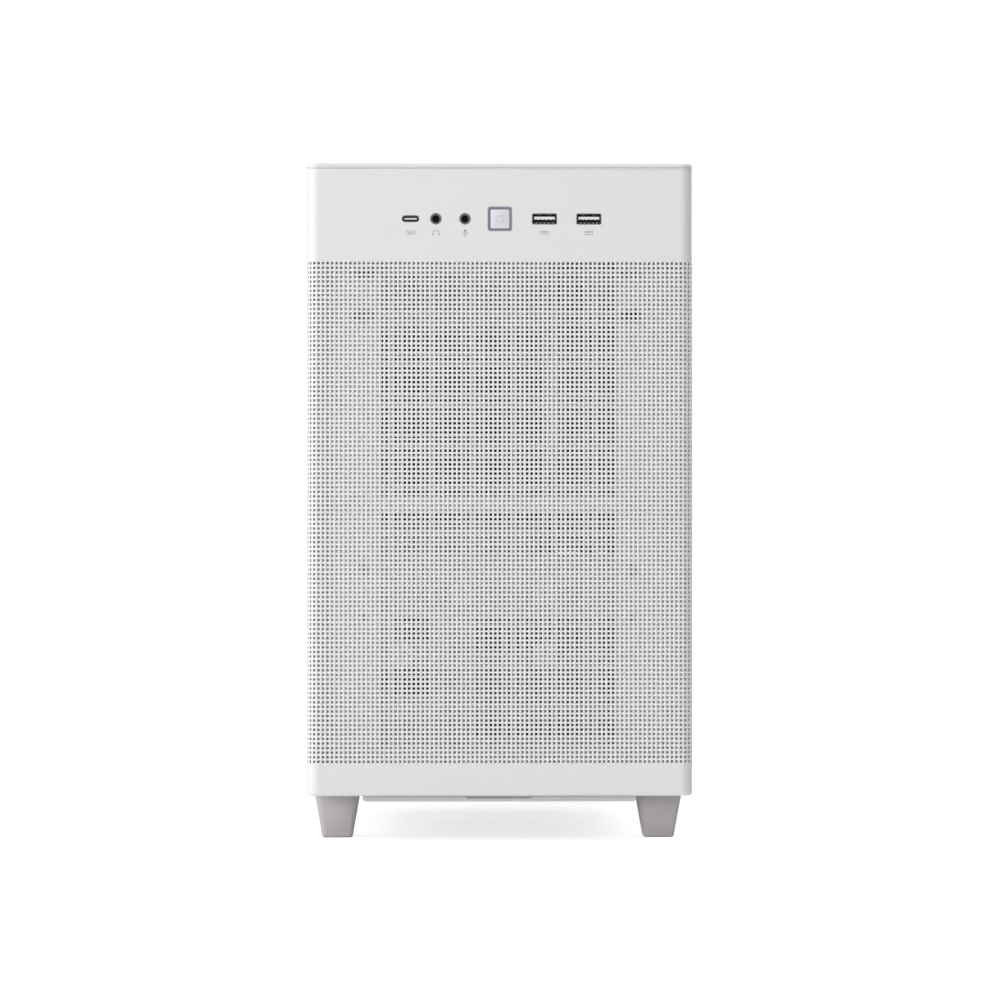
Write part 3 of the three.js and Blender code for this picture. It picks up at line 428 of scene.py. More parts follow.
def tube(body, path, radius, sides=12, kind=0, strands=1, strand=0.0, turns=0.0):
    """A round tube along a path, or as many strands of it laid round the path, with a slow twist."""
    tangents = np.gradient(path, axis=0)
    tangents /= np.linalg.norm(tangents, axis=1)[:, None]
    side = np.cross(tangents[0], (0.3, 0.2, 0.9))
    frames = []
    for tangent in tangents:
        side = side - tangent * side.dot(tangent)
        side /= np.linalg.norm(side)
        frames.append((side, np.cross(tangent, side)))
    angles = np.linspace(0, TAU, sides, endpoint=False)
    for k in range(strands):
        rings = []
        for step, (point, (a, b)) in enumerate(zip(path, frames)):
            lay = TAU * (k / strands + turns * step / len(path))
            centre = point + strand * (math.cos(lay) * a + math.sin(lay) * b)
            rings.append([centre + radius * (math.cos(t) * a + math.sin(t) * b) for t in angles])
        loft(body, rings, kind=kind)


def perforated(us, vs, is_open, w0, w1, place):
    """The points and four-sided faces of a sheet cut into cells at us and vs, of which some are open."""
    us, vs = np.asarray(us, float), np.asarray(vs, float)
    nu, nv = len(us), len(vs)
    u, v = np.meshgrid(us, vs, indexing="ij")
    layers = [np.stack(np.broadcast_arrays(*place(u.ravel(), v.ravel(), w)), axis=1) for w in (w0, w1)]
    points = np.concatenate(layers)
    index = np.arange(nu * nv).reshape(nu, nv)
    back = index + nu * nv
    solid = ~is_open
    i, j = np.nonzero(solid)
    outer = np.stack([index[i, j], index[i + 1, j], index[i + 1, j + 1], index[i, j + 1]], axis=1)
    faces = [outer, outer[:, ::-1] + nu * nv]
    across = np.zeros((nu + 1, nv - 1), bool)
    across[1:-1] = solid
    for falls, turned in ((across[:-1] & ~across[1:], False), (~across[:-1] & across[1:], True)):
        i, j = np.nonzero(falls)
        wall = np.stack([index[i, j], back[i, j], back[i, j + 1], index[i, j + 1]], axis=1)
        faces.append(wall[:, ::-1] if turned else wall)
    up = np.zeros((nu - 1, nv + 1), bool)
    up[:, 1:-1] = solid
    for falls, turned in ((up[:, :-1] & ~up[:, 1:], False), (~up[:, :-1] & up[:, 1:], True)):
        i, j = np.nonzero(falls)
        wall = np.stack([index[i, j], index[i + 1, j], back[i + 1, j], back[i, j]], axis=1)
        faces.append(wall[:, ::-1] if turned else wall)
    faces = np.concatenate(faces)
    used, renumbered = np.unique(faces, return_inverse=True)
    return points[used], renumbered.reshape(faces.shape)


def hole_lines(low, high, centres, hole):
    """Cutting lines for a row of holes, and which of the cells between them lie over a hole."""
    edges = [c + side * hole / 2 for c in centres for side in (-1, 1)]
    lines = [low, *edges, high]
    over = [False] + [k % 2 == 0 for k in range(len(edges) - 1)] + [False]
    return lines, np.array(over)


def show(obj, rides, slot, replaces=()):
    bpy.context.scene.collection.objects.link(obj)
    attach(obj, rides)
    if replaces:
        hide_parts(*replaces)


def sharp_edges(mesh, angle, chosen):
    """Gives bevel weight to sharp edges with both ends chosen, and marks the other ones as sharp."""
    shape = bmesh.new()
    shape.from_mesh(mesh)
    weight = shape.edges.layers.float.new("bevel_weight_edge")
    for edge in shape.edges:
        if edge.calc_face_angle(0) > angle:
            bevelled = all(chosen(vertex.co / MM) for vertex in edge.verts)
            edge[weight] = 1.0 if bevelled else 0.0
            edge.smooth = bevelled
    shape.to_mesh(mesh)
    shape.free()


def piece(name, body, rides, slot, replaces=(), bevel=0.0, segments=2, smooth=35, chosen=None):
    """Makes an object from a body. chosen says which corners the bevel takes; without it, all of them."""
    mesh = bpy.data.meshes.new(name)
    mesh.from_pydata([tuple(c * MM for c in point) for point in body.points], [], body.faces)
    for material in body.materials:
        mesh.materials.append(material)
    mesh.polygons.foreach_set("material_index", body.kinds)
    shape = bmesh.new()
    shape.from_mesh(mesh)
    bmesh.ops.recalc_face_normals(shape, faces=shape.faces)
    shape.to_mesh(mesh)
    shape.free()
    mesh.shade_smooth()
    obj = bpy.data.objects.new(name, mesh)
    if bevel:
        soften(obj, bevel, segments, chosen)
    else:
        mesh.set_sharp_from_angle(angle=math.radians(smooth))
        creases = {tuple(sorted(pair)) for pair in body.creases}
        for edge in mesh.edges if creases else ():
            if tuple(sorted(edge.vertices)) in creases:
                edge.use_edge_sharp = True
    show(obj, rides, slot, replaces)


def soften(obj, width, segments=2, chosen=None):
    modifier = obj.modifiers.new("Bevel", "BEVEL")
    modifier.width = width * MM
    modifier.segments = segments
    modifier.angle_limit = math.radians(40)
    modifier.harden_normals = True
    modifier.use_clamp_overlap = True
    if chosen:
        sharp_edges(obj.data, math.radians(40), chosen)
        modifier.limit_method = "WEIGHT"


def mesh_piece(name, points, faces, material, rides, slot, replaces=()):
    """An object from the arrays that perforated() makes."""
    mesh = bpy.data.meshes.new(name)
    mesh.vertices.add(len(points))
    mesh.vertices.foreach_set("co", (points * MM).astype(np.float32).ravel())
    mesh.loops.add(faces.size)
    mesh.loops.foreach_set("vertex_index", faces.astype(np.int32).ravel())
    mesh.polygons.add(len(faces))
    mesh.polygons.foreach_set("loop_start", np.arange(0, faces.size, 4, dtype=np.int32))
    mesh.materials.append(material)
    mesh.update(calc_edges=True)
    show(bpy.data.objects.new(name, mesh), rides, slot, replaces)


def mesh_sheet(name, place, rides, replaces, across, up):
    """A perforated sheet. across and up are its two ends and the middles of its holes, along u and v."""
    us, over_u = hole_lines(*across, HOLE)
    vs, over_v = hole_lines(*up, HOLE)
    points, faces = perforated(us, vs, over_u[:, None] & over_v[None, :], 0, MESH_SHEET, place)
    mesh_piece(name, points, faces, MESH_PAINT_WITH_PAINTED_LIGHT, rides, "white_paint", replaces)


# ---------------------------------------------------------------- camera, floor and light

body_low, body_high = (Vector(corner) / MM for corner in cad_box)
FRONT_Y, BACK_Y = body_low.y, body_high.y
SIDE_X = body_high.x
FOOT_HEIGHT = box_mm("front_panel")[0].z

CAMERA_AT = (-67, FRONT_Y - 2600, 160)
CAMERA_TARGET = (0, FRONT_Y, 181.2)
LENS = 176.3
WORLD_LIGHT = 0.12
FLOOR_GLOW_NEAR = 0.72
FLOOR_GLOW_SHARE = 0.2
FLOOR_HALF = 40.0


def add_camera():
    data = bpy.data.cameras.new("camera")
    data.sensor_width = 36.0
    data.lens = LENS
    data.clip_end = 100.0
    camera = bpy.data.objects.new("camera", data)
    bpy.context.scene.collection.objects.link(camera)
    camera.location = Vector(CAMERA_AT) * MM
    target = Vector(CAMERA_TARGET) * MM
    camera.rotation_euler = (target - camera.location).to_track_quat("-Z", "Y").to_euler()
    bpy.context.scene.camera = camera


def add_area(name, place, target, size, power):
    """A rectangular light, in metres and watts."""
    data = bpy.data.lights.new(name, "AREA")
    data.shape = "RECTANGLE"
    data.size, data.size_y = size
    data.energy = power
    light = bpy.data.objects.new(name, data)
    light.location = place
    light.rotation_euler = (Vector(target) - Vector(place)).to_track_quat("-Z", "Y").to_euler()
    bpy.context.scene.collection.objects.link(light)


def add_world():
    """A weak pale light from all round, behind a background that the camera sees as pure white."""
    world = bpy.data.worlds.new("studio")
    world.use_nodes = True
    tree = world.node_tree
    tree.nodes.clear()
    rays = add_node(tree, "ShaderNodeLightPath")
    background = "ShaderNodeBackground"
    light = add_node(tree, background, {"Color": rgba((0.97, 0.98, 1.0)), "Strength": WORLD_LIGHT})
    seen = add_node(tree, background, {"Color": rgba((1, 1, 1)), "Strength": 1.0})
    mix = add_node(
        tree,
        "ShaderNodeMixShader",
        {0: rays.outputs["Is Camera Ray"], 1: light.outputs[0], 2: seen.outputs[0]},
    )
    output = add_node(tree, "ShaderNodeOutputWorld")
    tree.links.new(mix.outputs[0], output.inputs["Surface"])
    bpy.context.scene.world = world


def add_floor():
    """A pale floor that holds a soft shadow near the object, and fades into the white further out."""
    material, tree, shader = node_material("pale_floor")
    shader.inputs["Base Color"].default_value = rgba((0.8, 0.8, 0.8))
    shader.inputs["Roughness"].default_value = 0.7
    shader.inputs["Emission Color"].default_value = rgba((1, 1, 1))
    place = add_node(tree, "ShaderNodeTexCoord")
    reach = add_node(tree, "ShaderNodeVectorMath", {0: place.outputs["Object"]}, operation="LENGTH")
    glow = add_node(
        tree,
        "ShaderNodeMapRange",
        {"Value": reach.outputs["Value"], 1: 0.6, 2: 4.0, 3: FLOOR_GLOW_NEAR, 4: 1.0},
    )
    rays = add_node(tree, "ShaderNodeLightPath")
    share = add_node(
        tree,
        "ShaderNodeMapRange",
        {"Value": rays.outputs["Is Camera Ray"], 3: FLOOR_GLOW_SHARE, 4: 1.0},
    )
    strength = add_node(
        tree,
        "ShaderNodeMath",
        {0: glow.outputs["Result"], 1: share.outputs["Result"]},
        operation="MULTIPLY",
    )
    tree.links.new(strength.outputs["Value"], shader.inputs["Emission Strength"])
    mesh = bpy.data.meshes.new("floor")
    corners = [(x, y, 0) for x, y in rectangle(-FLOOR_HALF, FLOOR_HALF, -FLOOR_HALF, FLOOR_HALF)]
    mesh.from_pydata(corners, [], [(0, 1, 2, 3)])
    mesh.materials.append(material)
    floor = bpy.data.objects.new("floor", mesh)
    bpy.context.scene.collection.objects.link(floor)


add_camera()
add_world()
add_floor()
add_area("key", (-2.95, -1.05, 0.7), (0, -0.1, 0.15), (1.8, 1.8), 56)
add_area("fill", (-0.8, -2.9, 0.5), (0, -0.2, 0.15), (1.6, 1.2), 26.5)
add_area("overhead", (0, 0, 2.6), (0, 0, 0), (2.4, 2.4), 40)
add_area("rear", (2.0, 2.4, 1.2), (0, 0, 0.15), (1.6, 1.6), 36)
bpy.context.scene.view_settings.view_transform = "Standard"

# ---------------------------------------------------------------- front panel

HOLE = 1.36
COLUMN_PITCH = 2.407
ROW_PITCH = 2.4275
ROWS = [42.3 + k * ROW_PITCH for k in range(110)]
RIM = 1.3  # from the middle of an outermost hole to the end of its field
MESH_BOTTOM, MESH_TOP = ROWS[0] - RIM, ROWS[-1] + RIM
CORNER = 6.0
SHEET = 1.2
MESH_SHEET = 0.6
FLAT = SIDE_X - CORNER
BEND = CORNER * math.pi / 2
PANEL_BACK = box_mm("front_panel")[1].y
PANEL_TOP = box_mm("front_panel")[1].z
WRAP = FLAT + BEND + PANEL_BACK - FRONT_Y - CORNER
IO_Z = middle_mm("power_button_bezel")[2]
USB_A_NODES = ["usb_a_port_left", "usb_a_port_right"]
IO_NODES = ["usb_c_port", "headphone_jack", "microphone_jack", "power_button", *USB_A_NODES]
IO_X = {node: middle_mm(node)[0] for node in IO_NODES}


def wrapped(u, v, w):
    """u runs along the front panel's outer face, round its two corners and back along its sides."""
    u, v = np.asarray(u, float), np.asarray(v, float)
    past = np.clip(np.abs(u) - FLAT, 0, BEND)
    turn = past / CORNER
    rest = np.clip(np.abs(u) - FLAT - BEND, 0, None)
    x = np.clip(np.abs(u), 0, FLAT) + (CORNER - w) * np.sin(turn)
    y = FRONT_Y + CORNER - (CORNER - w) * np.cos(turn) + rest
    return np.copysign(x, u), y, v + 0 * u


def symmetric(count, pitch):
    return [k * pitch for k in range(-count, count + 1)]


def front_mesh():
    across = (-WRAP, WRAP, symmetric(52, COLUMN_PITCH))
    middle = (ROWS[54] + ROWS[55]) / 2
    for name, nodes, up in (
        ("front_mesh_lower", (), (MESH_BOTTOM, middle, ROWS[:55])),
        ("front_mesh_upper", ("front_panel",), (middle, MESH_TOP, ROWS[55:])),
    ):
        mesh_sheet(name, wrapped, "front_panel", nodes, across, up)


def port_outline(node, grow):
    low, high = box_mm(node)
    x = IO_X[node]
    if node.startswith("usb_a"):
        half = (high.x - low.x) / 2 + grow
        return rounded(x - half, x + half, IO_Z - 2.85 - grow, IO_Z + 2.85 + grow, 0.8)
    if node == "usb_c_port":
        half = (high.x - low.x) / 2 + grow + 0.1
        rise = 1.73 + grow
        return rounded(x - half, x + half, IO_Z - rise, IO_Z + rise, rise - 0.01, 10)
    if node == "power_button":
        half = 6.4 + grow
        return rounded(x - half, x + half, IO_Z - half, IO_Z + half, 1.2 + grow)
    return circle(x, IO_Z, 2.95 + grow, 40)


def rolled_edge(body, edge, outward, radius, inner, us):
    """The front panel's sheet turned over at an edge, along all of its width."""
    turns = np.linspace(0, math.pi / 2, 7)
    section = [(edge - outward * (radius + 0.4), 0)]
    section += [(edge - outward * radius * (1 - math.sin(t)), radius * (1 - math.cos(t))) for t in turns]
    section += [(edge, 3), (edge - outward * inner, 3), (edge - outward * inner, SHEET)]
    section += [(edge - outward * (radius + 0.4), SHEET)]
    loft(body, [[wrapped(u, v, w) for v, w in section] for u in us])


def front_bands():
    steps = 10
    near, past = FLAT - 0.5, FLAT + BEND + 0.5
    bends = [side * u for side in (-1, 1) for u in [near, *np.linspace(FLAT, FLAT + BEND, steps + 1), past]]
    along_edge = sorted([-WRAP, *bends, WRAP])
    plan = (
        arc(-FLAT, FRONT_Y + CORNER, CORNER - SHEET, math.pi, 1.5 * math.pi, steps)
        + arc(FLAT, FRONT_Y + CORNER, CORNER - SHEET, 1.5 * math.pi, TAU, steps)
        + [(SIDE_X - SHEET, PANEL_BACK), (-SIDE_X + SHEET, PANEL_BACK)]
    )
    upper = Body(PAINT)
    holes = [port_outline(node, 0.1) for node in IO_NODES]
    sheet = rectangle(-WRAP, WRAP, MESH_TOP, PANEL_TOP - 0.9)
    plate(upper, sheet, holes, 0, SHEET, wrapped, bends=bends, hole_ease=0.15)
    rolled_edge(upper, PANEL_TOP, 1, 0.35, 1.1, along_edge)
    prism(upper, plan, PANEL_TOP - SHEET, PANEL_TOP - 0.02, along("z"))
    piece("front_top_band", upper, "front_panel", "white_paint", ["front_panel"])
    lower = Body(PAINT)
    plate(lower, rectangle(-WRAP, WRAP, FOOT_HEIGHT + 2.0, MESH_BOTTOM), [], 0, SHEET, wrapped, bends=bends)
    rolled_edge(lower, FOOT_HEIGHT, -1, 1.6, 1.6, along_edge)
    prism(lower, plan, FOOT_HEIGHT + 0.02, FOOT_HEIGHT + SHEET, along("z"))
    piece("front_bottom_band", lower, "front_panel", "white_paint", ["front_panel"])


front_mesh()
front_bands()

# ---------------------------------------------------------------- top and side panels


def top_panel():
    """A plate with a perforated field, in two halves, inside a plain border."""
    top = box_mm("top_panel")[1].z
    columns = symmetric(35, COLUMN_PITCH)
    rows = [-212 + k * ROW_PITCH for k in range(172)]
    x_edge = columns[-1] + RIM
    y0, y1 = rows[0] - RIM, rows[-1] + RIM
    middle = (rows[85] + rows[86]) / 2

    def place(u, v, w):
        return u, v, top - w + 0 * u

    for name, up in (
        ("top_mesh_front", (y0, middle, rows[:86])),
        ("top_mesh_rear", (middle, y1, rows[86:])),
    ):
        mesh_sheet(name, place, "top_panel", ["top_panel"], (-x_edge, x_edge, columns), up)
    outline = (
        arc(-FLAT, FRONT_Y + CORNER, CORNER, math.pi, 1.5 * math.pi, 12)
        + arc(FLAT, FRONT_Y + CORNER, CORNER, 1.5 * math.pi, TAU, 12)
        + rounded(-SIDE_X, SIDE_X, BACK_Y - 10, BACK_Y, 1.5)[6:18]
    )
    border = Body(PAINT)
    plate(border, outline, [rectangle(-x_edge, x_edge, y0, y1)], 0, top - PANEL_TOP - 0.1, place, ease=1.1)
    piece("top_border", border, "top_panel", "white_paint", ["top_panel"])


def side_panel(side):
    """A folded tray: a perforated field in two halves, and a plain border with its lips turned in."""
    node = ("left" if side < 0 else "right") + "_side_panel"
    low, high = box_mm(node)
    sheet, lip, bend = 1.0, high.x - low.x, 1.6
    count = int((high.y - 9 - low.y - 6) / COLUMN_PITCH)
    columns = [low.y + 6 + k * COLUMN_PITCH for k in range(count + 1)]
    y0, y1 = columns[0] - RIM, columns[-1] + RIM
    half = count // 2
    middle = (columns[half] + columns[half + 1]) / 2

    def place(u, v, w):
        return side * (SIDE_X - w) + 0 * u, side * u, v

    for name, start, end, some in (
        ("mesh_front", y0, middle, columns[: half + 1]),
        ("mesh_rear", middle, y1, columns[half + 1 :]),
    ):
        ends = sorted((side * start, side * end))
        across = (*ends, sorted(side * c for c in some))
        mesh_sheet(f"{node}_{name}", place, node, [node], across, (MESH_BOTTOM, MESH_TOP, ROWS))

    def ring(depth, inset, field=False):
        if field:
            around = rectangle(y0, y1, MESH_BOTTOM, MESH_TOP)
        else:
            around = rectangle(low.y + inset, high.y - inset, low.z + inset, high.z - inset)
        return [(side * (SIDE_X - depth), y, z) for y, z in around]

    def bow(radius, start, end):
        angles = np.linspace(start, end, 5)
        return [(bend - radius * math.cos(t), bend - radius * math.sin(t)) for t in angles]

    profile = bow(bend, 0, math.pi / 2) + [(lip, 0), (lip, sheet)] + bow(bend - sheet, math.pi / 2, 0)
    rings = [ring(0, 0, True), *(ring(depth, inset) for depth, inset in profile), ring(sheet, 0, True)]
    border = Body(PAINT)
    loft(border, rings, closed=True)
    piece(f"{node}_border", border, node, "white_paint", [node], smooth=50)


top_panel()
side_panel(-1)
side_panel(1)

# ---------------------------------------------------------------- chassis


def field(centre_u, centre_v, count_u, count_v, pitch, hole, w0, w1, place, keep=None):
    """A rectangular field of square holes, and the outline that it fills. keep says which holes stay open."""
    us = [centre_u + (k - (count_u - 1) / 2) * pitch for k in range(count_u)]
    vs = [centre_v + (k - (count_v - 1) / 2) * pitch for k in range(count_v)]
    rim = pitch - hole / 2
    lines_u, over_u = hole_lines(us[0] - rim, us[-1] + rim, us, hole)
    lines_v, over_v = hole_lines(vs[0] - rim, vs[-1] + rim, vs, hole)
    is_open = over_u[:, None] & over_v[None, :]
    if keep:
        mid_u = (np.array(lines_u)[1:] + np.array(lines_u)[:-1]) / 2
        mid_v = (np.array(lines_v)[1:] + np.array(lines_v)[:-1]) / 2
        is_open &= keep(mid_u[:, None], mid_v[None, :])
    points, faces = perforated(lines_u, lines_v, is_open, w0, w1, place)
    return points, faces, rectangle(lines_u[0], lines_u[-1], lines_v[0], lines_v[-1])


def screw(body, place, radius, kind=0):
    """A pan head with a cross cut in it, on the plane w = 0 and facing -w."""
    height = radius * 0.55
    arm, thin = radius * 0.58, radius * 0.14
    cross = [
        (arm, -thin), (arm, thin), (thin, thin), (thin, arm), (-thin, arm), (-thin, thin),
        (-arm, thin), (-arm, -thin), (-thin, -thin), (-thin, -arm), (thin, -arm), (thin, -thin),
    ]
    plate(body, circle(0, 0, radius * 0.8, 24), [cross], -height, -height * 0.45, place, kind)
    lathe(
        body,
        [(radius * 0.8, -height), (radius * 0.93, -height * 0.8), (radius, 0.2), (radius * 0.79, 0.2)],
        place,
        24,
        kind,
        ring=True,
    )
    prism(body, circle(0, 0, radius * 0.82, 24), -height * 0.5, 0.2, place, kind)


def facing(axis, sign, x, y, z):
    """A place whose w axis points into the object from a face that looks along sign * axis."""
    order = AXES[axis]
    at = (x, y, z)

    def place(u, v, w):
        point = list(at)
        point[order[0]] = at[order[0]] + u
        point[order[1]] = at[order[1]] + v
        point[order[2]] = at[order[2]] - sign * w
        return point

    return place


def front_wall():
    """The inner wall behind the front panel, with two vents and four standoffs in the lower one."""
    low, high = box_mm("front_inner_wall")
    bosses = [(-19.5, 131.5), (25.5, 131.5), (-51.5, 98.5), (25.5, 98.5)]

    def away(u, v):
        clear = np.ones(np.broadcast_shapes(u.shape, v.shape), bool)
        for x, z in bosses:
            reach = np.hypot(u - x, v - z)
            clear &= (reach > 7.4) | (reach < 3)
        return clear

    holes = [rectangle(30, 50, 309, 321)]
    for side in (-1, 1):
        x = side * 72
        holes.append(rounded(x - 6, x + 6, 301, 306, 2.4))
        holes.append(rounded(x - 6, x + 6, 277, 284, 3.4))
        holes.append(rounded(x - 2.4, x + 2.4, 140, 147, 2.3))
        holes.append(circle(x, 118, 2, 20))
    place = along("y")
    for name, z in (("inner_vent_upper", 246.2), ("inner_vent_lower", 111.5)):
        points, faces, outline = field(0, z, 23, 23, 5.5, 4.5, low.y, high.y, place, away)
        mesh_piece(name, points, faces, MESH_PAINT_WITH_PAINTED_LIGHT, "chassis", "white_paint", ["front_inner_wall"])
        holes.append(outline)
    # The wall takes the lightened powder coat as well: painted light on a wall seen mostly through the holes.
    wall = Body(MESH_PAINT_WITH_PAINTED_LIGHT)
    plate(wall, rectangle(low.x, high.x, low.z, high.z), holes, low.y, high.y, place)
    for x, z in bosses:
        plate(wall, circle(x, z, 6.4, 32), [circle(x, z, 2, 20)], low.y - 0.8, low.y + 0.01, place)
    for side in (-1, 1):
        for z in (60, 200, 335):
            screw(wall, facing("y", -1, side * 90, low.y, z), 3.2)
    piece("inner_front_wall", wall, "chassis", "white_paint", ["front_inner_wall"], smooth=30)


SLOTS = [middle_mm(f"slot_cover_{k}")[2] for k in (1, 2, 3, 4)]


def rear_wall():
    """The rear wall with its fan vent and openings, and the four slot covers in it."""
    low, high = box_mm("rear_wall")
    place = along("y")
    fan_x, _, fan_z = middle_mm("rear_fan_frame")
    round_vent = lambda u, v: np.hypot(u - fan_x, v - fan_z) < 55.5
    points, faces, vent = field(fan_x, fan_z, 23, 23, 4.8, 3.7, low.y, high.y, place, round_vent)
    mesh_piece("rear_fan_vent", points, faces, MESH_PAINT_WITH_PAINTED_LIGHT, "chassis", "white_paint", ["rear_wall"])
    shield = box_mm("io_shield")
    x, _, z = middle_mm("mains_inlet")
    holes = [
        vent,
        rectangle(shield[0].x - 0.3, shield[1].x + 0.3, shield[0].z - 0.3, shield[1].z + 0.3),
        rectangle(x - 14.6, x + 14.6, z - 10.6, z + 10.6),
    ]
    holes += [rounded(-38, 66, slot - 7, slot + 7, 1.5) for slot in SLOTS]
    holes += [rounded(-88 + k * 8, -84 + k * 8, 100, 148, 1.9) for k in range(4)]
    wall = Body(PAINT, NICKEL)
    plate(wall, rectangle(low.x, high.x, low.z, high.z), holes, low.y, high.y, place)
    rim = rounded(shield[0].x - 3.5, shield[1].x + 3, shield[0].z - 3, shield[1].z + 3, 2)
    hole = rounded(shield[0].x - 1.2, shield[1].x + 0.8, shield[0].z - 0.8, shield[1].z + 0.8, 0.5)
    plate(wall, rim, [hole], high.y - 0.2, high.y + 0.7, place)
    outside = lambda u, v: facing("y", 1, u, high.y, v)
    for u in (-52.5, 52.5):
        for v in (-52.5, 52.5):
            screw(wall, outside(fan_x + u, fan_z + v), 3.4, 1)
    for slot in SLOTS:
        screw(wall, outside(-43.5, slot), 3.2, 1)
    for u, v in ((-92, 60), (-92, 330), (92, 60), (92, 330), (0, 340)):
        screw(wall, outside(u, v), 3.0, 1)
    piece("rear_panel", wall, "chassis", "white_paint", ["rear_wall"], smooth=30)
    for k, slot in enumerate(SLOTS, 1):
        low, high = box_mm(f"slot_cover_{k}")
        cover = Body(PAINT)
        vents = [rounded(-34 + i * 19, -20 + i * 19, slot - 3.5, slot + 3.5, 2) for i in range(5)]
        plate(cover, rectangle(low.x, high.x, low.z, high.z), vents, low.y, high.y, place)
        plate(cover, rounded(-36, 58.5, slot - 5.9, slot + 5.9, 1), vents, high.y - 0.1, high.y + 0.7, place)
        top, bottom = slot + 4, slot - 4
        louvre = [(high.y - 0.3, top), (high.y - 0.9, top), (low.y - 3.6, bottom), (low.y - 3, bottom)]
        loft(cover, [[(x, y, z) for y, z in louvre] for x in (-35.5, 57.5)])
        piece(f"card_slot_cover_{k}", cover, "chassis", "white_paint", [f"slot_cover_{k}"], smooth=30)


def dress_node(name, material, bevel=0.3, segments=2):
    """Gives a CAD node its finish, and softens its edges."""
    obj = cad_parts[name]
    obj.data.materials.clear()
    obj.data.materials.append(material)
    weld = obj.modifiers.new("Weld", "WELD")
    weld.merge_threshold = 0.002 * MM
    soften(obj, bevel, segments)


front_wall()
rear_wall()

# ---------------------------------------------------------------- feet and dust filter


def rounded_square(x, y, half, radius, z):
    return [(u, v, z) for u, v in rounded(x - half, x + half, y - half, y + half, radius, 5)]


def feet():
    for end in ("front", "rear"):
        for side in ("left", "right"):
            foot, pad = f"foot_{end}_{side}", f"foot_pad_{end}_{side}"
            peg_top = box_mm(foot)[1].z
            x, y, _ = middle_mm(foot)
            top = FOOT_HEIGHT - 0.3
            body = Body(FOOT)
            levels = [(0.45, 7.9), (0.6, 8.1), (0.95, 8.25), (top - 0.4, 12.2), (top, 12.0)]
            loft(body, [rounded_square(x, y, half, 0.32 * half, z) for z, half in levels])
            peg = [(0, top - 1), (5, top - 1), (5, peg_top), (0, peg_top)]
            lathe(body, peg, along("z", (x, y, 0)), 32)
            piece(f"{foot}_moulding", body, "chassis", "grey_plastic", [foot], smooth=40)
            body = Body(PAD)
            levels = [(0.0, 7.4), (0.15, 7.7), (0.6, 7.7), (0.9, 7.5)]
            loft(body, [rounded_square(x, y, half, 2.4, z) for z, half in levels])
            piece(f"{pad}_sole", body, "chassis", "black_rubber", [pad], smooth=40)


def dust_filter():
    low, high = box_mm("dust_filter")
    bar_back = low.y + 6
    half, frame_half = high.x, 68.5
    quarter = math.pi / 2
    right = arc(half - 2, low.z + 2, 2, -quarter, 0, 6) + [(half, high.z - 0.3), (half - 0.3, high.z)]
    left = [(-half + 0.3, high.z), (-half, high.z - 0.3)]
    left += arc(-half + 2, low.z + 2, 2, 2 * quarter, 3 * quarter, 6)
    notch = [(17, high.z), (16, high.z - 1.2), (-17, high.z - 1.2), (-18, high.z)]
    body = Body(LAVENDER)
    prism(body, right + notch + left, low.y, low.y + 2, along("y"))
    prism(body, right + left, low.y + 1.99, bar_back, along("y"))
    piece(
        "dust_filter_pull",
        body,
        "dust_filter",
        "lavender_plastic",
        ["dust_filter"],
        bevel=0.25,
        chosen=lambda p: p.y < low.y + 0.1,
    )
    length = (high.y - bar_back - 6) / 3
    starts = [bar_back + 6 + k * length for k in range(3)]
    panes = [(start, start + length - 6) for start in starts]
    sheet = Body(LAVENDER)
    holes = [rounded(-62.5, 62.5, a, b, 2) for a, b in panes]
    outline = rectangle(-frame_half, frame_half, bar_back - 0.5, high.y)
    plate(sheet, outline, holes, 22, 23.3, along("z"), ease=0.3, hole_ease=0.3)
    for k in range(1, 3):
        y = panes[k][0] - 3
        block(sheet, -frame_half + 4, frame_half - 4, y - 0.5, y + 0.5, 21.4, 22.1)
    piece("dust_filter_frame", sheet, "dust_filter", "lavender_plastic", ["dust_filter"])
    for k, (a, b) in enumerate(panes, 1):
        rows = int((b - a + 2) / 2.2)
        points, faces, _ = field(0, (a + b) / 2, 57, rows, 2.2, 1.7, 22.9, 23.3, along("z"))
        name, node = f"dust_filter_mesh_{k}", "dust_filter"
        mesh_piece(name, points, faces[:, ::-1], FILTER_MESH, node, "lavender_plastic", [node])


feet()
dust_filter()

# ---------------------------------------------------------------- front ports and button

PORT_Y = box_mm("usb_c_port")[0].y


def usb_a(body, place, tongue=1):
    """A shell with its springs, the tongue and its contacts. v is up, towards the tongue's plain side."""
    shell, contact, dark = 0, 2, 3
    depth = 14.0
    rim = rounded(-6.55, 6.55, -2.85, 2.85, 0.75)
    plate(body, rim, [rounded(-6.2, 6.2, -2.5, 2.5, 0.45)], 0, depth, place, shell)
    # A dark sleeve over the shell's inner walls, from just behind its rim: painted shade inside the socket.
    lining = rounded(-6.19, 6.19, -2.49, 2.49, 0.45)
    plate(body, lining, [rounded(-6.05, 6.05, -2.35, 2.35, 0.4)], 0.5, depth, place, dark)
    prism(body, lining, depth - 5, depth + 2, place, dark)
    prism(body, rounded(-5.5, 5.5, -0.35, 1.2, 0.15), 0.5, depth - 4, place, tongue)
    for u in (-4.4, -2.2, 0, 2.2, 4.4):
        prism(body, rounded(u - 0.5, u + 0.5, -0.7, -0.1, 0.12), 0.45, depth - 4, place, dark)
        prism(body, rounded(u - 0.5, u + 0.5, -2.3, -1.85, 0.12), 0.6, 3, place, contact)
    for u in (-2.9, 2.9):
        spring = [(0.6, 2.4), (3.0, 1.9), (4.6, 1.9), (6.4, 2.4)]
        section = spring + [(w, v + 0.18) for w, v in reversed(spring)]
        loft(body, [[place(at, v, w) for w, v in section] for at in (u - 0.9, u + 0.9)], kind=contact)


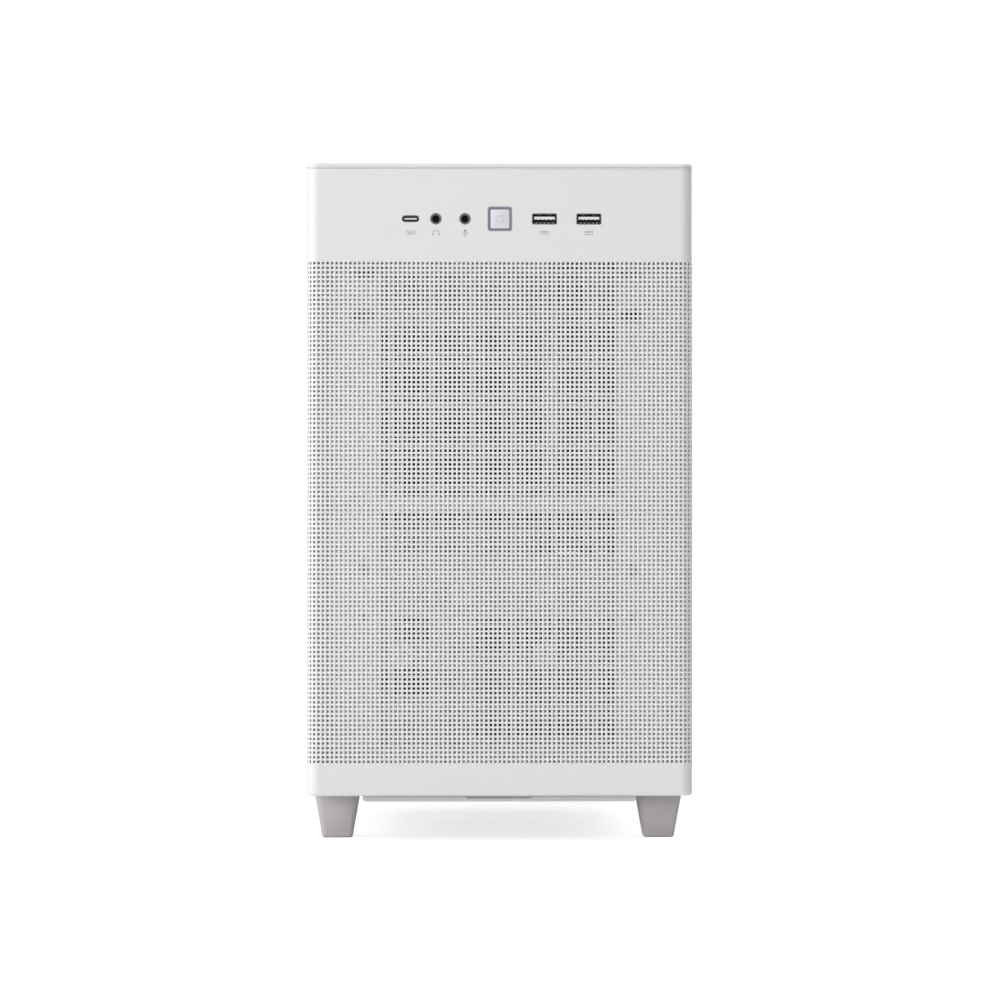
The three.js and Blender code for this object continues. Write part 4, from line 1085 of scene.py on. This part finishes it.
def usb_c():
    place = facing("y", -1, IO_X["usb_c_port"], PORT_Y, IO_Z)
    body = Body(DARK_METAL, TONGUE_WHITE, CONTACT, SOCKET_PLASTIC_AND_SHADE)
    half, rise, depth = 4.47, 1.63, 8.5

    def stadium(shrink):
        u, v = half - shrink, rise - shrink
        return rounded(-u, u, -v, v, v - 0.01, 10)

    plate(body, stadium(0), [stadium(0.3)], 0, depth, place)
    # A dark sleeve over the shell's inner walls, from just behind its rim: painted shade inside the socket.
    plate(body, stadium(0.29), [stadium(0.4)], 0.4, depth, place, 3)
    prism(body, stadium(0.3), depth - 2.5, depth + 2, place, 3)
    prism(body, rounded(-3.3, 3.3, -0.36, 0.36, 0.2), 0.5, depth - 2, place, 1)
    for k in range(12):
        u = -2.75 + k * 0.5
        for v in (-0.38, 0.38):
            prism(body, rectangle(u - 0.12, u + 0.12, v - 0.05, v + 0.05), 0.8, depth - 2, place, 2)
    piece("usb_c_socket", body, "chassis", "port_metal", ["usb_c_port"], smooth=35)


def jack(node, name):
    place = facing("y", -1, IO_X[node], PORT_Y, IO_Z)
    body = Body(JACK_RING, BORE_PAINTED_SHADE, CONTACT)
    rim = [(2.8, 0), (2.98, 0.18), (2.98, 3.3), (1.9, 3.3), (1.9, 0.7), (2.1, 0.3), (2.45, 0)]
    lathe(body, rim, place, 40, 0, ring=True)
    # The bore and the jack's body take the near-black bore finish: painted shade in the bore.
    barrel = [(0, 13), (1.7, 13), (1.85, 0.75), (2.6, 0.75), (2.6, 14), (0, 14)]
    lathe(body, barrel, place, 32, 1)
    for turn in (0.7, 3.6):
        u, v = 1.65 * math.cos(turn), 1.65 * math.sin(turn)
        prism(body, circle(u, v, 0.2, 10), 5, 10, place, 2)
    low, high = box_mm(node)
    block(body, low.x, high.x, PORT_Y + 3.4, high.y, low.z, high.z, 1)
    piece(name, body, "chassis", "grey_plastic", [node], smooth=35)


def inset_ring(place, half_u, half_v, w, inset, radius):
    """A rounded rectangle's points at depth w, drawn in by an inset."""
    u, v = half_u - inset, half_v - inset
    return [place(*point, w) for point in rounded(-u, u, -v, v, radius)]


def power_symbol(body, place, radius, stroke, w0, w1):
    """A broken ring with a bar in its gap."""
    gap = math.radians(32)
    start, end = math.pi / 2 + gap, math.pi / 2 - gap + TAU
    outer = arc(0, 0, radius + stroke / 2, start, end, 36)
    inner = arc(0, 0, radius - stroke / 2, end, start, 36)
    prism(body, outer + inner, w0, w1, place)
    bar = rounded(-stroke / 2, stroke / 2, 0.15 * radius, 1.15 * radius, stroke * 0.4, 3)
    prism(body, bar, w0, w1, place)


def power_button():
    low, high = box_mm("power_button")
    place = facing("y", -1, 0, low.y, IO_Z)
    half = 5.15
    body = Body(BUTTON_PLASTIC)
    levels = [(4.9, 0.0), (0.35, 0.0), (0.1, 0.1), (0.0, 0.35)]
    loft(body, [inset_ring(place, half, half, w, inset, 0.8) for w, inset in levels])
    block(body, -2, 2, low.y + 4, high.y, IO_Z - 2, IO_Z + 2)
    piece("power_button_cap", body, "power_button", "white_plastic", ["power_button"], smooth=40)
    mark = Body(BUTTON_MARK)
    power_symbol(mark, place, 2.2, 0.36, -0.04, 0.05)
    piece("power_button_symbol", mark, "power_button", "lavender_plastic", [])
    low, high = box_mm("power_button_bezel")
    ring = Body(BEZEL)
    hole = rounded(-5.45, 5.45, IO_Z - 5.45, IO_Z + 5.45, 0.9)
    outline = rounded(low.x, high.x, low.z, high.z, 1.1)
    plate(ring, outline, [hole], low.y, high.y, along("y"), ease=0.2, hole_ease=0.2)
    piece("button_surround", ring, "chassis", "lavender_plastic", ["power_button_bezel"])


def outline_ring(body, place, width, height, radius, stroke, w0, w1):
    half, rise = width / 2, height / 2
    inner = rounded(-half + stroke, half - stroke, -rise + stroke, rise - stroke, max(radius - stroke, 0.05))
    plate(body, rounded(-half, half, -rise, rise, radius), [inner], w0, w1, place)


def port_marks():
    """Small printed pictograms under the ports, with no lettering."""
    body = Body(PRINT)
    depth = (-0.03, 0.05)
    z = IO_Z - 7.4
    at = {node: facing("y", -1, x, FRONT_Y, z) for node, x in IO_X.items()}
    outline_ring(body, at["usb_c_port"], 5.4, 2.1, 1.04, 0.34, *depth)
    prism(body, rounded(-1.5, 1.5, -0.18, 0.18, 0.12, 3), *depth, at["usb_c_port"])
    for node in USB_A_NODES:
        outline_ring(body, at[node], 4.2, 2.1, 0.25, 0.32, *depth)
        prism(body, rectangle(-1.25, 1.25, 0.05, 0.45), *depth, at[node])
    place = at["headphone_jack"]
    band = arc(0, -0.4, 1.8, math.radians(200), math.radians(-20), 24)
    band += arc(0, -0.4, 1.46, math.radians(-20), math.radians(200), 24)
    prism(body, band, *depth, place)
    for u in (-1.6, 1.6):
        prism(body, rounded(u - 0.33, u + 0.33, -1.55, -0.5, 0.25, 4), *depth, place)
    place = at["microphone_jack"]
    prism(body, rounded(-0.6, 0.6, -0.15, 1.85, 0.59, 6), *depth, place)
    cup = arc(0, 0.35, 1.35, math.pi, TAU, 18) + arc(0, 0.35, 1.02, TAU, math.pi, 18)
    prism(body, cup, *depth, place)
    prism(body, rectangle(-0.17, 0.17, -1.6, -0.85), *depth, place)
    prism(body, rectangle(-0.8, 0.8, -1.9, -1.6), *depth, place)
    piece("port_marks", body, "front_panel", "grey_plastic", [])


for port in ("left", "right"):
    node = f"usb_a_port_{port}"
    socket = Body(DARK_METAL, TONGUE_WHITE, CONTACT, SOCKET_PLASTIC_AND_SHADE)
    usb_a(socket, facing("y", -1, IO_X[node], PORT_Y, IO_Z))
    piece(f"usb_a_socket_{port}", socket, "chassis", "port_metal", [node])
usb_c()
jack("headphone_jack", "headphone_socket")
jack("microphone_jack", "microphone_socket")
power_button()
port_marks()
dress_node("front_io_carrier", WHITE_PLASTIC, 0.3)
dress_node("power_switch", BLACK, 0.2)

# ---------------------------------------------------------------- fans


def fan_frame(name, place, size, depth):
    """Two flanges with screw holes, the duct between them, and the motor plate on its struts."""
    half, bore = size / 2, size / 2 - 2.5
    square = rounded(-half, half, -half, half, size * 0.05, 6)
    at = half - 7.5
    screws = [circle(u, v, 2.15, 16) for u in (-at, at) for v in (-at, at)]
    body = Body(BLACK, PAD)
    opening = circle(0, 0, bore, 96)
    for start, end in ((0, 4), (depth, depth - 4)):
        plate(body, square, [opening, *screws], start, end, place, ease=0.5, hole_ease=0.4)
    duct = [(bore, 2), (bore, depth - 2), (half - 0.4, depth - 2), (half - 0.4, 2)]
    lathe(body, duct, place, 96, ring=True)
    hub = size * 0.17
    motor = [(0, depth - 4), (hub, depth - 4), (hub, depth - 0.4), (hub - 0.6, depth), (0, depth)]
    lathe(body, motor, place, 48)
    for k in range(4):
        turn = math.radians(45 + 90 * k)
        rings = []
        for step in range(9):
            radius = hub - 2 + (bore + 1 - hub + 2) * step / 8
            angle = turn + 0.35 * math.sin(math.pi * step / 8) * (1 - step / 16)
            centre = np.array([radius * math.cos(angle), radius * math.sin(angle)])
            side = np.array([-math.sin(turn), math.cos(turn)]) * 2.1
            corners = [(centre - side, depth - 3.6), (centre + side, depth - 3.6)]
            corners += [(centre + side, depth - 0.2), (centre - side, depth - 0.2)]
            rings.append([place(*point, w) for point, w in corners])
        loft(body, rings)
    for u in (-at, at):
        for v in (-at, at):
            pad = [(2.3, 4.1), (4.2, 4.1), (4.2, 5.0), (2.3, 5.0)]
            lathe(body, pad, shifted(place, u, v), 24, 1, ring=True)
    piece(f"{name}_housing", body, "chassis", "black_plastic", [f"{name}_frame"], smooth=40)


def shifted(place, u0, v0):
    return lambda u, v, w: place(u0 + u, v0 + v, w)


def fan_rotor(name, place, size, depth, blades):
    """A domed hub, and twisted blades that sweep forward and overlap when seen from the front."""
    hub, tip = size * 0.17, size / 2 - 4
    front, back = 1.5, depth - 4.8
    body = Body(BLACK)
    dome = [(0, front), (hub - 3, front), (hub - 1.2, front + 0.35), (hub - 0.3, front + 1.2)]
    shaft = [(1.5, back), (1.5, depth - 0.5), (0, depth - 0.5)]
    lathe(body, [*dome, (hub, front + 2.4), (hub, back), *shaft], place, 64)
    span, reach = TAU / blades * 1.04, back - front - 1.4
    for k in range(blades):
        rings = []
        for station in np.linspace(0, 1, 8):
            radius = hub - 1 + (tip - hub + 1) * station
            along_chord = np.linspace(0, 1, 11)
            turn = TAU * k / blades + 0.45 * station + span * (along_chord - 0.5)
            w = front + 0.7 + reach * (1 - along_chord) + 0.9 * np.sin(math.pi * along_chord)
            lean = np.array([reach, radius * span])
            lean /= np.linalg.norm(lean)
            thick = 0.3 + 0.75 * np.sqrt(np.clip(4 * along_chord * (1 - along_chord), 0, 1))
            upper = list(zip(turn + thick * lean[0] / radius, w + thick * lean[1]))
            lower = list(zip(turn - thick * lean[0] / radius, w - thick * lean[1]))
            ring = [(radius, a, np.clip(d, front, back)) for a, d in upper + lower[::-1]]
            rings.append([place(r * math.cos(a), r * math.sin(a), d) for r, a, d in ring])
        loft(body, rings)
    rotor = f"{name}_rotor"
    piece(f"{name}_impeller", body, rotor, "black_plastic", [rotor], smooth=50)


def fans():
    for name, axis, blades in (("rear_fan", "y", 9), ("cooler_fan", "x", 7), ("psu_fan", "z", 9)):
        low, high = box_mm(f"{name}_frame")
        centre = (low + high) / 2
        index = "xyz".index(axis)
        depth = high[index] - low[index]
        centre[index] = low[index]
        place = facing(axis, -1, *centre)
        size = high[(index + 1) % 3] - low[(index + 1) % 3]
        fan_frame(name, place, size, depth)
        fan_rotor(name, place, size, depth, blades)


fans()

# ---------------------------------------------------------------- power supply

PSU_INLET, PSU_ROCKER = (-46, 84), (-46, 112)


def power_supply():
    """A case of separate sheets, with its vents and the two pockets in its front."""
    low, high = box_mm("psu_case")
    x, y0, y1, z0, z1 = high.x, low.y, high.y, low.z, high.z
    middle = (y0 + y1) / 2
    floor_plan = rectangle(-x, x, y0, y1)
    end_wall = rectangle(-x, x, z0, z1)
    body = Body(ZINC, BLACK, NICKEL)
    front = facing("y", -1, 0, y0, 0)
    exhaust = field(21, 85, 21, 16, 4.6, 3.6, y0, y0 + 0.8, along("y"))
    mesh_piece("psu_exhaust_vent", *exhaust[:2], ZINC_MESH, "chassis", "bare_steel", ["psu_case"])
    cutouts = [rectangle(-58.2, -33.8, 75.6, 92.4), rectangle(-55.5, -36.5, 105.5, 118.5)]
    plate(body, end_wall, [*cutouts, exhaust[2]], 0, 1, front, ease=0.5)
    near = lambda u, v: np.hypot(u, v - middle) < 55
    points, faces, vent = field(0, middle, 25, 25, 4.4, 3.4, z0, z0 + 0.8, along("z"), near)
    mesh_piece("psu_intake_vent", points, faces[:, ::-1], ZINC_MESH, "chassis", "bare_steel", ["psu_case"])
    plate(body, floor_plan, [vent], 0, 1, facing("z", -1, 0, 0, z0), ease=0.5)
    plate(body, floor_plan, [], 0, 1, facing("z", 1, 0, 0, z1), ease=0.5)
    back = facing("y", 1, 0, y1, 0)
    plate(body, end_wall, [rounded(18, 66, 94, 122, 6)], 0, 1, back, ease=0.5, hole_ease=0.3)
    for side in (-1, 1):
        plate(body, rectangle(y0, y1, z0, z1), [], 0, 1, facing("x", side, side * x, 0, 0), ease=0.5)
    for (u, v), half_u, half_v, depth in ((PSU_INLET, 12.2, 8.4, 13.3), (PSU_ROCKER, 9.5, 6.5, 8)):
        inner = rounded(u - half_u, u + half_u, v - half_v, v + half_v, 1)
        half_u, half_v = half_u + 1.2, half_v + 1.2
        outer = rounded(u - half_u, u + half_u, v - half_v, v + half_v, 1.5)
        plate(body, outer, [inner], 0.4, depth + 1, front, 1)
        prism(body, outer, depth, depth + 1.2, front, 1)
    for u, v in ((-70, 48), (70, 48), (-70, 122), (70, 122)):
        screw(body, facing("y", -1, u, y0, v), 3.1, 2)
    plate(body, rounded(16, 68, 92, 124, 8), [rounded(19, 65, 95, 121, 6)], -0.05, 2, back, 1)
    piece("psu_shell", body, "chassis", "bare_steel", ["psu_case"], smooth=40)
    dress_node("psu_rocker_switch", BLACK, 0.35, 3)
    dress_node("psu_board", BOARD, 0.0)
    dress_node("psu_bracket", PAINT, 0.3)


def dress_nodes():
    for name, material, bevel in (
        ("chassis_floor", PAINT, 0.3),
        ("motherboard_tray", PAINT, 0.3),
        ("top_frame", PAINT, 0.3),
        ("processor", NICKEL, 0.4),
        ("cooler_heatsink", ALUMINIUM, 0.2),
        ("front_io_board", BOARD, 0.15),
        ("io_shield", ZINC, 0.15),
        ("mains_inlet", BLACK, 0.35),
    ):
        dress_node(name, material, bevel)


power_supply()
dress_nodes()

# ---------------------------------------------------------------- motherboard and what is on it


def motherboard():
    low, high = box_mm("motherboard")
    x = high.x - 1.6
    y0, z0, z1 = low.y, low.z, high.z
    body = Body(BOARD, BLACK, ALUMINIUM, NICKEL, WHITE_PLASTIC)

    def on(kind, height, a, b, c, d, base=0.0):
        block(body, x - height, x - base + 0.3, a, b, c, d, kind)

    mounts = [circle(y, z, 2.1, 20) for y in (y0 + 6, 98, high.y - 10) for z in (z0 + 8, 150, z1 - 6)]
    plate(body, rectangle(y0, high.y, z0, z1), mounts, 0, 1.6, facing("x", -1, x, 0, 0))
    _, cy, cz = middle_mm("processor")
    socket = rounded(cy - 24, cy + 24, cz - 24, cz + 24, 2)
    window = rectangle(cy - 20.5, cy + 20.5, cz - 20.5, cz + 20.5)
    plate(body, socket, [window], -3.4, 0.2, facing("x", -1, x, 0, 0), 3)
    on(1, 2.5, cy - 21, cy + 21, cz - 21, cz + 21)
    on(1, 9, 98, 218, 142, 148)
    for a, b, c, d, height, along_y in (
        (60, 84, 96, 120, 11, True),
        (186, 200, 180, 296, 18, False),
        (104, 176, 292, 303, 18, True),
    ):
        on(2, 4, a, b, c, d)
        start, end = (a, b) if along_y else (c, d)
        count = int((end - start) / 3.4)
        step = (end - start - 1.4) / count
        for k in range(count + 1):
            at = start + k * step
            if along_y:
                on(2, height, at, at + 1.4, c, d, 3.5)
            else:
                on(2, height, a, b, at, at + 1.4, 3.5)
    for y in (67, 77):
        for side in (-1, 1):
            on(1, 8, *sorted((y + side * 0.95, y + side * 3)), 154, 296)
        on(1, 3, y - 1.2, y + 1.2, 154, 296)
        on(1, 10.5, y - 2.4, y + 2.4, 293.4, 298.5)
    for kind, height, *spot in (
        (1, 12, y0 + 2, y0 + 12, 190, 242),
        (1, 12, 196, 214, 298, 307.5),
        (1, 8, y0 + 2, y0 + 8, 140, 160),
        (4, 7, 88, 94, 280, 290),
        (4, 7, 180, 186, 168, 178),
    ):
        on(kind, height, *spot)
    for k in range(2):
        on(1, 8, y0 + k * 8.2, y0 + k * 8.2 + 7.4, 84, 112)
    for k in range(5):
        place = facing("x", -1, x, 181.5, 196 + k * 12)
        lathe(body, [(0, -9), (2.5, -9), (2.8, -8.6), (2.8, -1), (3, -0.8), (3, 0.2), (0, 0.2)], place, 20, 3)
        lathe(body, [(0, -9.05), (1.6, -9.05), (1.6, -8.9), (0, -8.9)], place, 16, 1)
    for k in range(6):
        on(1, 4.5, 171, 177, 194 + k * 12, 201 + k * 12)
    for height, *spot in (
        (2, 20, 34, 70, 84),
        (1.6, 120, 128, 110, 122),
        (1.4, 196, 206, 100, 108),
        (1.5, 40, 48, 300, 306),
    ):
        on(1, height, *spot)
    place = facing("x", -1, x, 44, 130)
    lathe(body, [(0, -3), (9.6, -3), (10, -2.6), (10, 0.2), (0, 0.2)], place, 32, 3)
    for row in range(9):
        for column in range(4):
            y, z = 8 + column * 3.1, 250 + row * 4.3
            on((2, 1, 4)[(row + column) % 3], 0.9, y, y + 1.6, z, z + 0.9)
    ssd = box_mm("solid_state_drive")
    for z in (ssd[0].z, ssd[1].z - 6):
        block(body, ssd[1].x + 0.2, x + 0.3, ssd[0].y, ssd[1].y, z, z + 6, 1)
    piece("main_board", body, "chassis", "circuit_board", ["motherboard"], bevel=0.12, segments=1)
    for k in (1, 2):
        low, high = box_mm(f"memory_module_{k}")
        y = (low.y + high.y) / 2
        stick = Body(BOARD, BLACK)
        block(stick, low.x + 1, high.x, y - 0.55, y + 0.55, low.z, high.z)
        for side in (-1, 1):
            outline = rounded(low.z + 1, high.z - 1, -high.x + 6, -low.x, 1.5)
            spans = [(low.z + 8 + i * 16, low.z + 19 + i * 16) for i in range(8)]
            ribs = [rounded(*span, -high.x + 12, -low.x - 3, 1.5) for span in spans]
            place = lambda u, v, w, side=side: (-v, y + side * (0.65 - w * 0.2), u)
            plate(stick, outline, ribs, 0, 1, place, 1)
            prism(stick, rounded(low.z + 2, high.z - 2, -high.x + 7, -low.x - 1, 1), 0.6, 1.4, place, 1)
        piece(f"memory_{k}", stick, "chassis", "black_plastic", [f"memory_module_{k}"])
    drive = Body(BOARD, BLACK)
    (x0, y0, z0), (x1, y1, z1) = (tuple(c) for c in ssd)
    block(drive, x0 + 1.5, x1, y0, y1, z0, z1)
    for z, length in ((z0 + 8, 12), (z0 + 24, 20), (z0 + 48, 20)):
        block(drive, x0, x0 + 1.6, y0 + 3, y1 - 3, z, z + length, 1)
    piece("drive_board", drive, "chassis", "black_plastic", ["solid_state_drive"], bevel=0.12, segments=1)


motherboard()

# ---------------------------------------------------------------- rear ports


def rear_ports():
    low, high = box_mm("rear_usb_ports")
    face, base = high.y, high.x
    outside = lambda u, v: facing("y", 1, u, face, v)

    def turned(u0, v0):
        """A port that stands on its end, its tongue's plain side towards the board."""
        return lambda u, v, w: (u0 + v, face - w, v0 + u)

    def shell(node, holes, material=0, extra=()):
        low, high = box_mm(node)
        body = Body(NICKEL, BLACK, CONTACT, SOCKET_PLASTIC_AND_SHADE, TONGUE_BLUE, WHITE_PLASTIC, *extra)
        around = rectangle(low.x, high.x, low.z, high.z)
        plate(body, around, holes, 0, 6, outside(0, 0), material, ease=0.3, hole_ease=0.15)
        block(body, low.x, high.x, low.y, face - 6, low.z, high.z, 1 if material else 0)
        return body

    def usb_shell(node, usb, more=()):
        openings = [rounded(x - 2.85, x + 2.85, z - 6.55, z + 6.55, 0.7) for x, z in usb]
        body = shell(node, [*openings, *more])
        for x, z in usb:
            usb_a(body, turned(x, z), 4)
        return body

    usb = [(x, z) for z in (low.z + 8, low.z + 24) for x in (base - 4.1, base - 11.9)]
    body = usb_shell("rear_usb_ports", usb)
    piece("rear_usb_sockets", body, "chassis", "port_metal", ["rear_usb_ports"])
    z = middle_mm("rear_network_port")[2]
    x0, x1 = base - 27.5, base - 18.5
    stepped = [
        (x0, z - 6), (x0 + 6.2, z - 6), (x0 + 6.2, z - 3.2), (x1, z - 3.2),
        (x1, z + 3.2), (x0 + 6.2, z + 3.2), (x0 + 6.2, z + 6), (x0, z + 6),
    ]
    body = usb_shell("rear_network_port", [(base - 4.5, z), (base - 12.5, z)], [stepped])
    for k in range(8):
        at = z - 3.9 + k * 1.1
        block(body, x0 + 0.5, x0 + 1.1, face - 5.9, face - 1.5, at, at + 0.5, 2)
    for side in (-1, 1):
        at = z + side * 5.2
        block(body, x1 - 1.9, x1 + 0.2, face - 0.5, face + 0.05, at - 1.1, at + 1.1, 5)
    piece("rear_network_sockets", body, "chassis", "port_metal", ["rear_network_port"])
    z = middle_mm("rear_video_port")[2]
    x0, x1 = base - 5.9, base - 1.3
    taper = [(x0, z - 5), (x0 + 1.4, z - 7), (x1, z - 7), (x1, z + 7), (x0 + 1.4, z + 7), (x0, z + 5)]
    body = shell("rear_video_port", [taper])
    block(body, x0 + 1.6, x0 + 2.9, face - 5.9, face - 1, z - 5.6, z + 5.6, 1)
    piece("rear_video_socket", body, "chassis", "port_metal", ["rear_video_port"])
    z = middle_mm("rear_audio_jacks")[2]
    jacks = [base - 6, base - 17, base - 28]
    bores = [circle(x, z, 1.85, 24) for x in jacks]
    body = shell("rear_audio_jacks", bores, 1, (JACK_PINK, JACK_GREEN, JACK_BLUE))
    for k, x in enumerate(jacks):
        ring = [(1.9, -0.02), (3.9, -0.02), (4.1, 0.3), (4.1, 0.8), (1.9, 0.8)]
        lathe(body, ring, outside(x, z), 32, 6 + k, ring=True)
    piece("rear_audio_sockets", body, "chassis", "black_plastic", ["rear_audio_jacks"])


def inlet_fittings():
    x, _, z = middle_mm("mains_inlet")
    face = box_mm("mains_inlet")[1].y
    body = Body(NICKEL)
    for dx, dz in ((-7, -2.5), (7, -2.5), (0, 2.5)):
        outline = rounded(x + dx - 1.05, x + dx + 1.05, z + dz - 2.05, z + dz + 2.05, 0.4)
        prism(body, outline, face - 16, face - 3.95, along("y"))
    for side in (-1, 1):
        screw(body, facing("y", 1, x + side * 20, face, z), 2.9)
    piece("mains_inlet_pins", body, "chassis", "bare_steel", [])


rear_ports()
inlet_fittings()

# ---------------------------------------------------------------- cords


CORDS = {
    "main_power_cable": (11, 10, [
        (30, -24.7, 108), (30, -18, 109), (30, -9, 115), (30.3, -3.5, 125), (31, -2.5, 140), (34, -6, 165),
        (37.5, -11, 188), (40, -12.8, 200), (46.5, -13, 211), (56, -13, 215.6), (65.8, -13, 216),
    ]),
    "cpu_power_cable": (6, 7, [
        (54, -24.7, 108), (54.3, -19, 108.6), (55.5, -11.5, 114), (57.5, -9.5, 123), (60.5, -12.5, 134),
        (66, -21, 146), (75.5, -31.5, 157), (85.5, -37, 168), (92.5, -35.5, 180), (94.5, -24, 194),
        (94.5, 0, 211), (94.5, 90, 270), (94.5, 160, 314), (94.5, 186, 328), (91, 197, 331), (83, 202, 331),
        (60, 203, 331), (50, 203.5, 326.7), (45.8, 204, 316.7), (50, 204.5, 306.6), (59, 205, 302.5),
        (65.8, 205, 302.5),
    ]),
    "front_io_cable": (5, 6, [
        (40, -207.5, 322), (40, -207.5, 319.8), (40, -206.3, 316.6), (40, -202.7, 313.8),
        (40, -198, 312.5), (40, -188, 312.3), (41, -170, 309),
        (46, -140, 296), (52, -110, 268), (53, -80, 228), (51, -55, 190),
        (50.5, -36, 165), (54, -22.5, 153.5), (61, -16, 150.2), (69.8, -15, 150),
    ]),
    "rear_fan_lead": (3, 4, [
        (32.3, 212, 176), (36.5, 212, 175.3), (41.5, 210.5, 173), (46, 205.5, 171.3), (50, 197.5, 170.6),
        (54.5, 189, 171.2), (60, 184, 172.4), (65.5, 183, 173), (70.8, 183, 173),
    ]),
    "cooler_fan_lead": (3, 4, [
        (26, 109, 268.3), (26, 109, 273), (27.5, 108.4, 278.5), (32.5, 106.5, 283), (40, 103, 285.6),
        (50, 97.5, 286), (60, 92.6, 285.5), (65.5, 91.1, 285), (70.8, 91, 285),
    ]),
}
MAINS_LEAD = [
    (-57, -181, 84), (-61, -181, 84), (-75, -178.7, 81), (-85.2, -172.6, 72.8), (-89, -164.2, 61.6),
    (-89, -151.9, 45.2), (-89, -142, 37), (-89, -129.5, 34), (-89, -20, 34), (-89, 90, 34),
    (-88, 110, 34.5), (-82.5, 135, 37), (-72, 160, 41.2), (-64.5, 180, 44.2), (-62, 195, 45),
    (-62, 207.9, 45),
]
PLUG_HALF_X, PLUG_HALF_Z = 11.9, 8.1
PLUG_BACK, PLUG_NOSE = -190, -152
LEAD_RADIUS = 3.5


def harness(node, diameter, strands, points):
    """Wires twisted round a core and held by ties."""
    path = smooth_path(points)
    share = math.sin(math.pi / strands)
    wire = diameter / 2 * share / (1 + share)
    body = Body(RUBBER, BLACK)
    tube(body, path, diameter / 2 - 1.4 * wire, 12, 0)
    tube(body, path, wire, 8, 0, strands, diameter / 2 - wire, len(points) / 12)
    for at in range(12, len(path) - 6, 16):
        tube(body, path[at : at + 2], diameter / 2 + 0.15, 16, 1)
    piece(f"{node}_wires", body, "chassis", "black_rubber", [node], smooth=50)


def mains_lead():
    """The sheathed lead, its plug, and the short taper where it leaves the plug."""
    lead = Body(RUBBER)
    path = smooth_path(MAINS_LEAD)
    tube(lead, path, LEAD_RADIUS, 16)
    piece("mains_lead", lead, "chassis", "black_rubber", ["mains_extension_lead"], smooth=50)
    behind = facing("y", -1, PSU_INLET[0], PLUG_BACK, PSU_INLET[1])
    length = PLUG_NOSE - PLUG_BACK
    plug = Body(RUBBER)
    levels = [(0, 1.6), (0.5, 0.7), (1.5, 0), (length - 0.4, 0), (length, 0.4)]
    loft(plug, [inset_ring(behind, PLUG_HALF_X, PLUG_HALF_Z, w, inset, 2.5) for w, inset in levels])
    relief = [(0, 4.6), (6, 4.4), (12, 4.0)]
    start = Vector(MAINS_LEAD[0])
    ahead = (Vector(MAINS_LEAD[1]) - start).normalized()
    side = ahead.cross(Vector((0, 1, 0))).normalized()
    other = ahead.cross(side)
    rings = []
    for reach, radius in relief:
        centre = start + ahead * (reach - 1)
        turns = np.linspace(0, TAU, 20, endpoint=False)
        rings.append([tuple(centre + radius * (math.cos(t) * side + math.sin(t) * other)) for t in turns])
    loft(plug, rings)
    piece("mains_plug", plug, "chassis", "black_rubber", ["mains_extension_lead"], smooth=40)


for node, (diameter, strands, points) in CORDS.items():
    harness(node, diameter, strands, points)
mains_lead()
